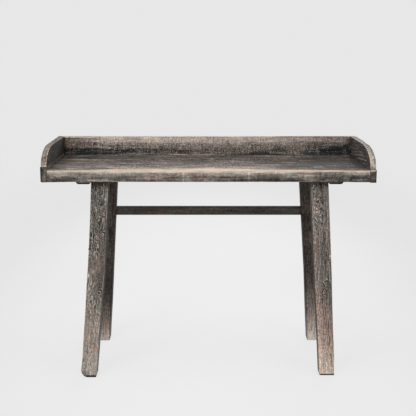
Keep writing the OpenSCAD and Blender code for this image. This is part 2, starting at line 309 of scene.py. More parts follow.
class Piece:
    """One wooden piece: a worn block with its grain and marks kept at every vertex.

    grain is the place in the wood, with its first axis along the fibres. Of the marks, wear is 1 where
    the wood is rubbed bare, tone is how light the surface is, figure is how strongly the grain curls
    there, warmth is above 0 where the colour is rosy and below 0 where it is cold, and knots rises in
    the middle of a knot by the number of rings round it.
    """

    def __init__(self, name, size, step, place, along, radius, seed, dent=DENT, hollow=None, chips=0.5):
        size = np.asarray(size)
        local, faces = box_surface(size, np.broadcast_to(step, 3), FINE_ARRIS)
        reach = radius(local) if callable(radius) else np.full(len(local), radius)
        # An arris is worn unevenly along its length, and chipped in places
        reach = reach * (1 + 0.4 * layered(local, 22, 2, seed))
        reach = reach * (1 + chips * smooth(0.35, 0.75, noise(local, 31, seed + 1)))
        reach = np.clip(reach, 0.4 * MM, 0.45 * size.min())
        shaped, normal = round_arrises(local, size, reach)
        fibre_scale = np.full(3, 60.0)
        fibre_scale[along] = 6
        inward = dent * (1 + layered(local, fibre_scale, 3, seed + 3))
        if hollow is not None:
            inward = inward + hollow(local)
        shaped = shaped - normal * inward[:, None]
        self.extra = []
        self.size = size
        self.local = local
        self.flat = place(local)
        self.ragged = layered(self.flat, 45, 2, seed + 20)
        self.seed = seed
        self.order = [along] + [axis for axis in range(3) if axis != along]
        self.made_at = place(shaped)
        self.object = new_object(name, self.made_at, faces)
        self.grain = local[:, self.order] + np.array([seed * 1.37, seed * 0.31, seed * 0.53])
        self.wear = np.zeros(len(local))
        self.tone = np.full(len(local), PLAIN)
        self.figure = np.ones(len(local))
        self.warmth = np.zeros(len(local))
        self.knots = np.zeros(len(local))

    def side(self, axis, end, depth=4 * MM):
        """1 on one side of the block, and 0 further than a depth behind it."""
        behind = self.size[axis] - self.local[:, axis] if end == HIGH else self.local[:, axis]
        return smooth(depth, 0.3 * depth, behind)

    def arris(self, reach):
        """1 on the arrises, and 0 further away than a reach."""
        to_side = np.minimum(self.local, self.size - self.local)
        return smooth(reach, 0, np.sort(to_side, axis=1)[:, 1])

    def blotch(self, centre, reach, ragged=0.25):
        """1 at a place, falling to 0 at its reach along each axis, with a ragged edge; None is anywhere."""
        away = np.zeros(len(self.flat))
        for axis in range(3):
            if centre[axis] is not None:
                away += ((self.flat[:, axis] - centre[axis]) / reach[axis]) ** 2
        return smooth(1, 0.25, np.sqrt(away) + ragged * self.ragged)

    def blotches(self, table, axes, ragged=0.25, base=0):
        """Blotches added up, each in mm by its place and its reach along two axes, and by its strength.

        base is where the places along the second axis are measured from.
        """
        total = np.zeros(len(self.flat))
        for first, second, first_reach, second_reach, strength in table:
            centre, reach = [None] * 3, [1] * 3
            centre[axes[0]], centre[axes[1]] = first * MM, base + second * MM
            reach[axes[0]], reach[axes[1]] = first_reach * MM, second_reach * MM
            total += strength * self.blotch(centre, reach, ragged)
        return total

    def mark_more(self, points, tones):
        """Gives parts that were joined on tones of their own, one for each point."""
        self.extra.append((points, tones))

    def cut(self, *tools):
        combine(self.object, tools, "DIFFERENCE")

    def join(self, *others):
        combine(self.object, others, "UNION")

    def finish(self, material, node, slot):
        """Stores the wood's marks, also at the vertices that cuts made, and dresses the piece."""
        mesh = self.object.data
        tree = kdtree.KDTree(len(self.made_at))
        for number, point in enumerate(self.made_at):
            tree.insert(point, number)
        tree.balance()
        points = mesh_points(mesh)
        found = [tree.find(point)[1:] for point in points]
        nearest = np.array([number for number, away in found])
        distance = np.array([away for number, away in found])
        moved = (points - self.made_at[nearest])[:, self.order]
        set_attribute(mesh, "grain", self.grain[nearest] + moved)
        marks = {mark: getattr(self, mark)[nearest] for mark in MARKS}
        for places, tones in self.extra:
            away = np.linalg.norm(points[:, None] - places[None], axis=2)
            closer = np.min(away, axis=1) < distance
            marks["tone"] = np.where(closer, tones[np.argmin(away, axis=1)], marks["tone"])
        for mark, values in marks.items():
            set_attribute(mesh, mark, values)
        dress(self.object, material, node)


# The angle between two faces from which the edge between them stays sharp
SHARP_ANGLE = math.radians(38)


def dress(made, material, node):
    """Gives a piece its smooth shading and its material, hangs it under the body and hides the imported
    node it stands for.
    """
    made.data.shade_smooth()
    made.data.set_sharp_from_angle(angle=SHARP_ANGLE)
    made.data.materials.clear()
    made.data.materials.append(material)
    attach(made, BODY)
    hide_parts(node)


# Materials

class Shader:
    """Short ways to add and link the nodes of one material or world."""

    def __init__(self, owner):
        self.owner = owner
        owner.use_nodes = True
        self.tree = owner.node_tree
        self.tree.nodes.clear()

    def add(self, kind, inputs=None, **settings):
        node = self.tree.nodes.new(kind)
        for key, value in settings.items():
            setattr(node, key, value)
        for key, value in (inputs or {}).items():
            self.put(node, key, value)
        return node

    def put(self, node, key, value):
        if isinstance(value, bpy.types.NodeSocket):
            self.tree.links.new(value, node.inputs[key])
        else:
            node.inputs[key].default_value = value

    def math(self, operation, a, b=0.0):
        return self.add("ShaderNodeMath", {0: a, 1: b}, operation=operation).outputs[0]

    def plus(self, a, b):
        return self.math("ADD", a, b)

    def minus(self, a, b):
        return self.math("SUBTRACT", a, b)

    def times(self, a, b):
        return self.math("MULTIPLY", a, b)

    def larger(self, a, b):
        return self.math("MAXIMUM", a, b)

    def from_half(self, source):
        """How far a source is from one half."""
        return self.math("ABSOLUTE", self.minus(source, 0.5))

    def add_scaled(self, value, source, strength):
        """A value plus a strength times how far a source is above one half."""
        return self.plus(value, self.times(self.minus(source, 0.5), strength))

    def vector(self, operation, a, b, output=0):
        node = self.add("ShaderNodeVectorMath", {0: a, 1: b}, operation=operation)
        return node.outputs[output]

    def split(self, vector):
        """The three parts of a vector."""
        return self.add("ShaderNodeSeparateXYZ", {0: vector}).outputs

    def noise(self, place, scale, detail=3.0, rough=0.55, distortion=0.0):
        """Noise about 0.5; scale is in cells per metre along each axis."""
        inputs = {"Scale": 1.0, "Detail": detail, "Roughness": rough, "Distortion": distortion}
        inputs["Vector"] = self.vector("MULTIPLY", place, scale)
        return self.add("ShaderNodeTexNoise", inputs).outputs["Fac"]

    def between(self, value, low, high, out_low=0.0, out_high=1.0):
        """A smooth step from one value to another while the input goes from low to high."""
        inputs = {"Value": value, "From Min": low, "From Max": high, "To Min": out_low, "To Max": out_high}
        node = self.add("ShaderNodeMapRange", inputs, interpolation_type="SMOOTHSTEP")
        return node.outputs["Result"]

    def ramp(self, value, stops):
        node = self.add("ShaderNodeValToRGB", {"Fac": value})
        elements = node.color_ramp.elements
        elements[0].position, elements[0].color = stops[0][0], (*stops[0][1], 1)
        elements[1].position, elements[1].color = stops[-1][0], (*stops[-1][1], 1)
        for place, colour in stops[1:-1]:
            elements.new(place).color = (*colour, 1)
        return node.outputs["Color"]

    def mix(self, share, a, b, blend="MIX"):
        node = self.add("ShaderNodeMix", data_type="RGBA", blend_type=blend)
        self.put(node, 0, share)
        for key, value in ((6, a), (7, b)):
            self.put(node, key, value if isinstance(value, bpy.types.NodeSocket) else (*value, 1))
        return node.outputs[2]

    def attribute(self, name, output="Fac"):
        return self.add("ShaderNodeAttribute", attribute_name=name).outputs[output]

    def either(self, share, a, b):
        """Mixes two surfaces, or two lights."""
        return self.add("ShaderNodeMixShader", {0: share, 1: a, 2: b}).outputs[0]


# From charred to bleached elm; each place is about the brightness on the screen
WOOD = (
    (0.0, (0.004, 0.004, 0.0042)),
    (0.15, (0.0222, 0.0186, 0.0157)),
    (0.3, (0.081, 0.069, 0.06)),
    (0.45, (0.193, 0.164, 0.143)),
    (0.6, (0.358, 0.312, 0.277)),
    (0.8, (0.69, 0.59, 0.495)),
    (1.0, (0.95, 0.87, 0.77)),
)
BARE = (0.63, 0.523, 0.42)
BARE_SHADE = (0.425, 0.345, 0.275)
PORE = (0.009, 0.008, 0.008)
# The wood between its pores and checks is nowhere darker than this
DARKEST = 0.06

# Rosy, cold and bluish places: the warmth where each begins and is full, and what it does to the colour
TINTS = (
    (0.05, 0.9, (1.16, 0.965, 0.9)),
    (-0.05, -0.9, (0.84, 1.0, 1.05)),
    (-1.0, -2.0, (0.88, 0.96, 1.28)),
)
# What rosy places do to the colour of bare wood
ROSY_BARE = (1.06, 0.965, 0.86)

# How fine each part of the wood's pattern is, in cells per metre along the grain and across it
PATTERNS = {
    "fibres": (26, 330, 330),
    "ticks": (45, 230, 230),
    "streaks": (7, 120, 120),
    "bands": (2.6, 40, 40),
    "clouds": (7, 13, 13),
    "specks": (190, 240, 240),
    "chatter": (170, 50, 50),
    "mottle": (130, 105, 105),
    "grit": (150, 34, 150),
    "flecks": (110, 80, 80),
}
# The parts that are strongest where the grain curls
CURLING = ("specks", "chatter", "grit", "flecks")


def growth_rings(s, grain, figure, knots, curl):
    """The figure: contour lines of a field that runs along the grain and swirls where the wood curls.

    Gives the dark late wood of each ring, the pale line in its middle, and how curly the wood is.
    """
    curly = s.times(s.between(s.noise(grain, (5, 16, 16), 2), 0.36, 0.56, 0.4, 1.0), figure)
    bend = s.noise(grain, (7, 24, 24), 2)
    swirl = s.noise(grain, (34, 56, 56), 1.5, 0.5, 0.9)
    parts = s.split(grain)
    count = s.times(s.plus(parts[1], s.times(parts[2], 0.6)), 1 / RING_STEP)
    count = s.plus(count, s.times(bend, 6.0))
    count = s.plus(count, s.times(s.times(swirl, curly), curl))
    ring = s.math("FRACT", s.plus(count, knots))
    late = s.times(s.between(ring, 0.0, 0.7), s.between(ring, 1.0, 0.8))
    return late, s.between(s.from_half(ring), 0.3, 0.05), curly


def rubbed_wood(s, wear, tint, parts):
    """How far the wood is rubbed bare, and the colour of the bare wood."""
    rubbed = s.add_scaled(s.add_scaled(wear, parts["streaks"], 0.7), parts["specks"], 0.6)
    bare = s.mix(s.between(parts["fibres"], 0.3, 0.62), BARE_SHADE, BARE)
    bare = s.mix(s.between(tint, 0.1, 0.9, 0.0, 0.8), bare, ROSY_BARE, "MULTIPLY")
    return s.between(rubbed, 0.12, 0.9, 0.0, 0.95), bare


def openings(s, grain):
    """How dark open pores and fine checks make the wood."""
    pores = s.between(s.noise(grain, (60, 520, 520), 2, 0.7), 0.64, 0.74, 0.0, 0.7)
    check = s.between(s.from_half(s.noise(grain, (2.2, 75, 75), 2, 0.6)), 0.012, 0.003)
    check = s.times(check, s.between(s.noise(grain, (4, 9, 9), 1), 0.5, 0.62))
    return s.larger(pores, s.times(check, 0.8))


def elm(name, rings=0.1, lines=0.0, curl=12.0, tints=3.8, own_grain=True, **strengths):
    """Old elm: rings that run along the grain and curl in places, fibres, pores and rubbed arrises.

    Each strength says how far a part of the pattern lightens or darkens the wood: rings and pale lines
    that follow the curling grain, and the PATTERNS. curl is how many rings a curl turns through, and
    tints is how much the colour changes from rosy to cold.
    """
    s = Shader(bpy.data.materials.new(name))
    if own_grain:
        grain = s.attribute("grain", "Vector")
        tone, figure = s.attribute("tone"), s.attribute("figure")
    else:
        place = s.split(s.add("ShaderNodeTexCoord").outputs["Object"])
        grain = s.add("ShaderNodeCombineXYZ", {0: place[2], 1: place[0], 2: place[1]}).outputs[0]
        tone, figure = PEG_TONE, 1.0
    wear, warmth, knots = (s.attribute(mark) for mark in ("wear", "warmth", "knots"))
    late, pale_line, curly = growth_rings(s, grain, figure, knots, curl)

    used = [key for key in PATTERNS if key in strengths or key in ("fibres", "streaks", "specks")]
    parts = {key: s.noise(grain, PATTERNS[key], 2, 0.6) for key in used}
    value = s.add_scaled(tone, late, rings)
    curling = None
    for key, strength in strengths.items():
        if key in CURLING:
            part = s.times(s.minus(parts[key], 0.5), strength)
            curling = part if curling is None else s.plus(curling, part)
        else:
            value = s.add_scaled(value, parts[key], strength)
    value = s.plus(value, s.times(curling, figure))
    if lines:
        curled = s.larger(curly, s.math("MINIMUM", knots, 1.2))
        value = s.plus(value, s.times(s.times(s.minus(pale_line, 0.4), curled), lines))
    value = s.larger(value, DARKEST)

    colour = s.ramp(value, WOOD)
    tint = s.add_scaled(warmth, s.noise(grain, (22, 75, 75), 3, 0.65), tints)
    for begins, full, change in TINTS:
        colour = s.mix(s.between(tint, begins, full, 0.0, 0.9), colour, change, "MULTIPLY")
    rubbed, bare = rubbed_wood(s, wear, tint, parts)
    dark = openings(s, grain)
    colour = s.mix(dark, s.mix(rubbed, colour, bare), PORE)

    relief = s.minus(s.plus(s.times(late, 0.5), s.times(parts["fibres"], 0.9)), dark)
    bump = s.add("ShaderNodeBump", {"Strength": 0.75, "Distance": 0.9 * MM, "Height": relief})
    gloss = s.between(s.plus(value, rubbed), 0.2, 1.3, 0.84, 0.62)
    look = {"Base Color": colour, "Roughness": gloss, "Normal": bump.outputs[0], "Specular IOR Level": 0.25}
    s.add("ShaderNodeOutputMaterial", {0: s.add("ShaderNodeBsdfPrincipled", look).outputs[0]})
    return s.owner


# Places in the frame

def node_box(node):
    low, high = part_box(node)
    return np.array(low), np.array(high)


plank_low, plank_high = node_box("front_plank")
surface_z = plank_high[Z]
underside_z = plank_low[Z]
seam_y = plank_high[Y]
front_y = plank_low[Y]
back_y = node_box("rear_plank")[1][Y]
plank_end = -node_box("left_end_strip")[1][X]
board_low, board_high = node_box("back_board")


def board_end_room(end, low_z):
    """The room that an end of the back board takes up in the pieces beside it."""
    inner = end * (plank_end - 3 * PAST)
    outer = end * (board_high[X] + JOINT_GAP)
    low = (min(inner, outer), board_low[Y] - JOINT_GAP, low_z)
    high = (max(inner, outer), back_y + PAST, board_high[Z] + PAST)
    return block("room", low, high)


class LegLine:
    """The slanting middle line of a leg, worked out from its box."""

    def __init__(self, end, row):
        self.end = end
        self.row = row
        self.node = f"{'front' if row == FRONT else 'rear'}_{'left' if end == LEFT else 'right'}_leg"
        low, high = node_box(self.node)
        outer = np.where((end, row) == np.array((LEFT, FRONT)), low[:2], high[:2])
        inner = np.where((end, row) == np.array((LEFT, FRONT)), high[:2], low[:2])
        outward = np.array((end, row))
        self.foot = outer - outward * np.array((LEG_FOOT_W, LEG_D)) / 2
        self.top = inner + outward * np.array((LEG_TOP_W, LEG_D)) / 2

    def middle(self, z):
        """Where the line is at a height; it runs on above the underside of the top."""
        share = (np.asarray(z) / underside_z)[..., None]
        return self.foot * (1 - share) + self.top * share

    def bar(self, name, z_low, z_high, section):
        """A slanting bar of one section along the leg's line."""
        half_w, half_d = section[0] / 2, section[1] / 2
        rings = []
        for z in (z_low, z_high):
            x, y = self.middle(z)
            rings.append([(x + a * half_w, y + b * half_d, z) for a, b in SQUARE])
        return rings_solid(name, rings)


LEGS = [LegLine(end, row) for row in (FRONT, REAR) for end in (LEFT, RIGHT)]


def dovetail(name, node, gap, span, z_low):
    """The dovetail of a batten, grown by a gap; span is where it begins and ends along Y."""
    low, high = node_box(node)
    x = (low[X] + high[X]) / 2
    neck = DOVETAIL_NECK / 2 + gap
    top = DOVETAIL_TOP / 2 + gap
    z_high = underside_z + DOVETAIL_H + gap
    rings = []
    for share in np.linspace(0, 1, DOVETAIL_STEPS):
        z = z_low + share * (z_high - z_low)
        half = neck + share * (top - neck)
        first = [(x + side, span[0], z) for side in np.linspace(-half, half, DOVETAIL_STEPS)]
        last = [(x + side, span[1], z) for side in np.linspace(half, -half, DOVETAIL_STEPS)]
        rings.append(first + last)
    return rings_solid(name, rings)


def shifted(corner):
    return lambda points: points + np.asarray(corner)


# The top

# How far the bare wood reaches back from the front arris, in mm, by x
RUBBED_BACK = (
    (-570, 1), (-530, 1.5), (-470, 7), (-350, 40), (-200, 62), (0, 80), (100, 66), (190, 32), (370, 10),
    (450, 5), (510, 2), (560, 1),
)
# How far it reaches down the front, in mm, by x
RUBBED_DOWN = (
    (-560, 12), (-500, 14), (-440, 14), (-350, 13), (0, 14), (100, 12), (280, 9), (420, 10), (560, 12),
)
# How light the surface is, by y
SURFACE_TONE = (
    (-206, 0.405), (-178, 0.41), (-155, 0.41), (-128, 0.375), (-107, 0.34), (-50, 0.28), (-8, 0.255),
    (45, 0.305), (90, 0.315), (130, 0.29), (190, 0.285),
)
# Where the painted shade along the right side board begins, in mm, by y
RIGHT_SHADE_EDGE = ((-206, 575), (-178, 553), (-130, 541), (-50, 540), (50, 545), (120, 557), (185, 567))
# Streaks on the surface, by strength, scale, layers and seed
SURFACE_STREAKS = ((0.09, (2.4, 26, 1), 3, 41), (0.12, (11, 36, 1), 2, 45), (0.08, (50, 30, 1), 2, 47))
# Broad and small blotches on the surface, by x, y, half length, half depth and strength
SURFACE_CLOUDS = ((80, 30, 120, 90, 0.045), (440, 50, 160, 120, -0.05))
SURFACE_BLOTCHES = (
    (-420, 88, 200, 32, -0.12), (-130, 75, 150, 26, 0.13), (-130, 0, 120, 35, -0.05),
    (-330, -130, 140, 45, 0.12), (-480, -178, 70, 20, 0.12), (520, -70, 50, 70, 0.04),
    (-370, -90, 50, 12, 0.12), (320, -20, 90, 20, 0.02), (430, -130, 60, 18, -0.1),
    (-490, 76, 70, 14, -0.14), (-330, -10, 120, 16, -0.1), (-130, 100, 140, 14, -0.08),
    (-130, 73, 140, 12, 0.12), (-200, -158, 240, 14, 0.12), (-500, -135, 70, 18, -0.08),
    (430, -180, 60, 12, 0.1), (280, -35, 90, 18, -0.07), (-130, -110, 110, 14, -0.06),
)
# How light the front face is, by height
FACE_TONE = (
    (731, 0.31), (735, 0.32), (742, 0.36), (750, 0.385), (757, 0.44), (762, 0.49), (766, 0.55), (770, 0.6),
)
# How much lighter it is, by x
FACE_ALONG = (
    (-570, -0.01), (-500, 0), (-420, 0), (-300, 0.04), (-200, -0.03), (-100, -0.02), (20, 0.03),
    (160, 0.03), (220, 0), (350, -0.05), (420, -0.11), (470, -0.1), (500, -0.06), (560, -0.09),
)
# Streaks on it, by strength, scale, layers and seed
FACE_STREAKS = ((0.11, (9, 0, 60), 3, 33), (0.08, (60, 0, 24), 2, 34), (0.05, (160, 0, 40), 1, 35))
# Blotches on it, by x, height, half length, half height and strength
FACE_BLOTCHES = (
    (120, 740, 50, 8, -0.08), (220, 744, 70, 10, -0.14), (300, 742, 50, 8, -0.1),
    (525, 747, 55, 12, -0.19), (-450, 752, 22, 16, -0.05), (-170, 755, 90, 12, -0.05),
    (-530, 745, 40, 6, -0.07), (410, 748, 40, 10, 0.06), (-395, 752, 40, 16, -0.09),
    (50, 764, 100, 10, 0.06), (-570, 754, 10, 20, -0.08), (-520, 740, 50, 6, -0.08),
    (80, 739, 100, 7, -0.08), (240, 768, 90, 6, 0.06), (-540, 755, 30, 6, 0.03),
    (-340, 762, 130, 8, 0.06), (-330, 735, 130, 5, 0.08), (430, 737, 60, 8, 0.12),
    (-330, 743, 130, 6, -0.04), (430, 760, 50, 7, -0.07), (440, 747, 50, 6, 0.04),
    (-250, 756, 30, 11, -0.1), (-540, 747, 40, 5, 0.08),
)
# How far the lower front edge is worn up, in mm, by x
LOWER_EDGE = (
    (-550, 0), (-500, 1.2), (-400, 1.8), (-290, 2.2), (-240, 1.4), (0, 1.1), (100, 1.5), (300, 1.2),
    (500, 0.8), (530, 0),
)


def plank_tools(row):
    """What is cut out of a plank: two dovetail grooves and two mortises."""
    tools = []
    y_low, y_high = (front_y, seam_y) if row == FRONT else (seam_y, back_y)
    for node in ("left_batten", "right_batten"):
        span = (y_low - PAST, y_high + PAST)
        tools.append(dovetail("groove", node, JOINT_GAP, span, underside_z - PAST))
    for leg in LEGS:
        if leg.row == row:
            section = (TENON_W + 2 * JOINT_GAP, TENON_D + 2 * JOINT_GAP)
            tools.append(leg.bar("mortise", underside_z - PAST, surface_z + PAST, section))
    return tools


def surface_marks(piece):
    """Where the upper side is, and its light, which both planks share."""
    x, y = piece.flat[:, X], piece.flat[:, Y]
    tone = along_points(y, SURFACE_TONE) + noises(piece.flat, *SURFACE_STREAKS)
    tone -= (0.085 + 0.055 * smooth(0.03, -0.05, y)) * smooth(0.15, 0.45, x)
    tone += piece.blotches(SURFACE_CLOUDS, (X, Y)) + piece.blotches(SURFACE_BLOTCHES, (X, Y), 0.4)
    # A light line beside the seam, and one near the back board
    patchy = 0.6 + layered(piece.flat, (14, 1, 1), 2, 43)
    tone += 0.12 * near(y, seam_y - 16 * MM, 16 * MM, 4 * MM) * near(x, -0.19, 0.38, 0.32) * patchy
    tone += 0.16 * near(y, 0.15, 22 * MM, 8 * MM) * near(x, 0.27, 0.17, 0.12)
    # Painted shade on the surface along both side boards, where they shade it
    shade_edge = along_points(y, RIGHT_SHADE_EDGE) * MM + 5 * MM * layered(piece.flat, (0, 30, 0), 2, 44)
    from_left = x + plank_end
    board_shade = smooth(-8 * MM, 8 * MM, x - shade_edge)
    board_shade += 0.8 * smooth(14 * MM, 4 * MM, from_left) * smooth(-0.2, -0.17, y)
    tone -= 0.13 * board_shade + 0.08 * smooth(0.075, 0.02, from_left)
    return piece.side(Z, HIGH), tone


def surface_figure(points):
    """How strongly the upper side's grain is crossed by its figure: in patches."""
    return 0.25 + 0.9 * smooth(-0.3, 0.5, layered(points, (6, 13, 1), 2, 55))


def face_tone(points):
    """How light the front face is at some points on it."""
    face = along_points(points[:, Z], FACE_TONE) + along_points(points[:, X], FACE_ALONG)
    return face + noises(points, *FACE_STREAKS)


def front_plank():
    size = np.array([2 * plank_end, seam_y - front_y, surface_z - underside_z])

    def radius(points):
        along, back, up = points.T
        at_front = smooth(22 * MM, 4 * MM, back)
        high = smooth(14 * MM, 30 * MM, up)
        middle = smooth(0.05, 0.3, along) * smooth(0.95, 0.6, along)
        return (1.1 + at_front * high * (4.6 + 2.6 * middle) + 0.3 * at_front * (1 - high)) * MM

    def hollow(points):
        """The middle of the front edge is worn down a little, and its lower edge up."""
        along, back, up = points.T
        middle = smooth(0.25, 0.5, along) * smooth(0.95, 0.6, along)
        above = 1.8 * MM * middle * smooth(size[Z] - 2 * MM, size[Z], up)
        below = along_points(along - plank_end, LOWER_EDGE) * MM * smooth(2 * MM, 0, up)
        return above * smooth(70 * MM, 0, back) + below * smooth(60 * MM, 10 * MM, back)

    place = shifted((-plank_end, front_y, underside_z))
    step = (3.5 * MM, 3.5 * MM, 3 * MM)
    piece = Piece("front_plank_worn", size, step, place, X, radius, 1, hollow=hollow)
    x, y, z = piece.flat.T
    reach = along_points(x, RUBBED_BACK) * MM * (1 + 0.3 * layered(piece.flat, (9, 0, 0), 3, 31))
    reach_down = along_points(x, RUBBED_DOWN) * MM * (1 + 0.35 * layered(piece.flat, (18, 0, 0), 3, 32))
    piece.wear = np.clip(1.08 - np.hypot((y - front_y) / reach, (surface_z - z) / reach_down), 0, 1)

    top, tone = surface_marks(piece)
    front = piece.side(Y, LOW, 2.5 * MM) * (1 - top)
    face = face_tone(piece.flat) + piece.blotches(FACE_BLOTCHES, (X, Z), 0.5)
    # Two pale scratches down the front, and one that slants
    for at_x, lean, wide in ((-0.09, 0.05, 3.84 * MM), (0.145, -0.03, 3.52 * MM)):
        face += 0.19 * near(x, at_x + lean * (z - 0.755), wide)
    face += 0.16 * near(z, 0.752 - 0.155 * (x - 0.474), 2.6 * MM) * near(x, 0.512, 0.045, 0.035)
    face -= 0.08 * smooth(2.5 * MM, 0, z - underside_z)
    piece.tone = SHADED_WOOD * (1 - top) * (1 - front) + tone * top + face * front
    piece.warmth = 0.25 * smooth(4 * MM, 0, z - underside_z) * front + 0.25 * top
    piece.warmth -= 1.5 * front * piece.blotch((0.52, None, 0.748), (0.06, 1, 0.016))
    piece.warmth += piece.wear * smooth(0.2, 0.3, x) * 0.7
    piece.figure = (0.2 + surface_figure(piece.flat)) * top + (1 - top) * (0.15 * front + 0.2)
    piece.cut(*plank_tools(FRONT))
    return piece


def rear_plank():
    size = np.array([2 * plank_end, back_y - seam_y, surface_z - underside_z])
    place = shifted((-plank_end, seam_y, underside_z))
    piece = Piece("rear_plank_worn", size, 4 * MM, place, X, 1.2 * MM, 2)
    top, tone = surface_marks(piece)
    piece.tone = tone * top + (1 - top) * SHADED_WOOD
    # Pale chips along the foot of the back board
    chips = smooth(0.1, 0.5, layered(piece.flat, (14, 1, 1), 2, 51))
    piece.tone += 0.2 * top * smooth(0.176, 0.182, piece.flat[:, Y]) * chips
    piece.warmth = 0.2 * top
    piece.figure = 0.2 + surface_figure(piece.flat) * top
    piece.cut(*plank_tools(REAR))
    return piece


def end_strip(node, end, seed):
    low, high = node_box(node)
    size = high - low
    # The lower outer edge of the left strip is bruised
    bruise = 5 * MM if end == LEFT else 0

    def from_outer_side(points):
        return points[:, X] if end == LEFT else size[X] - points[:, X]

    def radius(points):
        beside_corner = smooth(12 * MM, 3 * MM, from_outer_side(points))
        return 1.2 * MM + bruise * beside_corner * smooth(12 * MM, 3 * MM, points[:, Z])

    def hollow(points):
        return bruise * 0.25 * smooth(2 * MM, 0, points[:, Z]) * smooth(0.1, 0, points[:, Y])

    step = (3 * MM, 4 * MM, 3 * MM)
    piece = Piece(node + "_worn", size, step, shifted(low), Y, radius, seed, dent=0.15 * MM, hollow=hollow)
    front = piece.side(Y, LOW)
    outer, z = from_outer_side(piece.local), piece.local[:, Z]
    piece.tone = (0.29 if end == LEFT else 0.28) + 0.1 * layered(piece.flat, (130, 20, 25), 2, seed)
    piece.tone -= 0.12 * smooth(10 * MM, 0, z) + front * (0.03 + 0.14 * smooth(10 * MM, 4 * MM, outer))
    piece.wear = 0.35 * piece.arris(3 * MM) * smooth(20 * MM, 32 * MM, z) * smooth(4 * MM, 10 * MM, outer)
    if end == RIGHT:
        rubbed = near(z, size[Z] - 2.5 * MM, 4 * MM, 1.5 * MM)
        piece.wear += 0.9 * front * rubbed * smooth(2 * MM, 7 * MM, outer)
    piece.warmth = np.full(len(z), -0.25)
    if high[Z] > surface_z + JOINT_GAP:
        piece.cut(board_end_room(end, surface_z))
    return piece


# The gallery

# How light the front of the back board is, by its height above the surface
BOARD_TONE = (
    (0, 0.35), (6, 0.34), (18, 0.35), (28, 0.41), (40, 0.46), (47, 0.54), (53, 0.64), (66, 0.68),
    (70, 0.64),
)
# Two dark wavy lines along it: their heights above the surface in mm, by x
UPPER_DARK_LINE = (
    (-540, 24), (-500, 22), (-440, 24), (-400, 22), (-360, 20), (-300, 17), (-240, 15), (-50, 12),
)
LOWER_DARK_LINE = ((-575, 6), (-440, 5), (-385, 4.5), (-350, 9), (-320, 13), (-280, 14))
# Stains on it, and painted shade in both corners beside the side boards, by x, height above the surface,
# half length, half height and strength
BOARD_STAINS_AND_SHADE = (
    (-500, 20, 120, 13, -0.08), (-490, 6, 100, 12, -0.08), (-583, 35, 13, 60, -0.3),
    (490, 11, 135, 23, -0.27), (480, 27, 110, 16, -0.14), (562, 35, 22, 60, -0.2),
    (-550, 6, 30, 10, 0.1), (569, 60, 14, 24, -0.13), (567, 0, 18, 10, 0.08),
    (60, 30, 60, 16, -0.08), (210, 8, 50, 9, -0.13), (287, 20, 40, 14, -0.13),
    (-280, 20, 120, 12, -0.05), (420, 36, 50, 14, -0.12), (-452, 43, 11, 8, -0.11),
    (200, 0.5, 130, 3.5, -0.2), (-250, 0.5, 50, 3.5, -0.15), (-530, 52, 60, 14, -0.1),
    (-420, 6, 80, 8, -0.12), (-410, 40, 60, 12, -0.06), (-490, 40, 50, 20, -0.04),
    (-280, 50, 60, 10, -0.1), (460, 46, 100, 10, -0.08), (-380, 12, 60, 6, -0.06),
    (-470, 50, 50, 8, -0.08), (-470, 25, 60, 6, -0.08), (-470, 13, 60, 6, -0.12),
    (-380, 33, 70, 11, -0.08), (-280, 26, 60, 6, -0.07), (-280, 17, 50, 5, 0.1),
    (-280, 2, 50, 5, 0.1), (250, 3, 110, 6, -0.1), (-300, 40, 80, 10, -0.08),
    (-280, 9, 50, 4, -0.08), (-380, 2, 60, 5, -0.07), (-130, 2, 100, 5, 0.08),
)
# Pale streaks through the stains, by x, height above the surface, lean, reach and strength
STAIN_STREAKS = (
    (460, 14.5, 0, 80, 0.2), (470, 5.5, -0.01, 60, 0.18), (460, 27, 0.02, 50, 0.12),
    (-500, 19, 0, 70, 0.14), (-530, 8.5, 0.02, 40, 0.08),
)
# A small knot with a pale ring round it, and pale dots beside it, by x and height above the surface
KNOT = (-452, 43)
PALE_DOTS = ((-485, 57), (-395, 27), (-376, 21), (-355, 19), (-340, 24))


def waney(points, low_x):
    """The dark ragged hollow along the foot of the back board, where bark was once left on."""
    along, back, up = points.T
    x = along + low_x
    middle = 15 * MM + 5 * MM * layered(points, (8, 0, 0), 3, 61)
    tall = (7 * MM + 3 * MM * layered(points, (12, 0, 0), 2, 62)) * (0.35 + 0.65 * smooth(0.02, -0.3, x))
    inside = near(up, middle, tall, 0.4 * tall)
    return inside * smooth(3 * MM, 0, back) * (0.2 + 0.8 * smooth(0.1, -0.2, x))


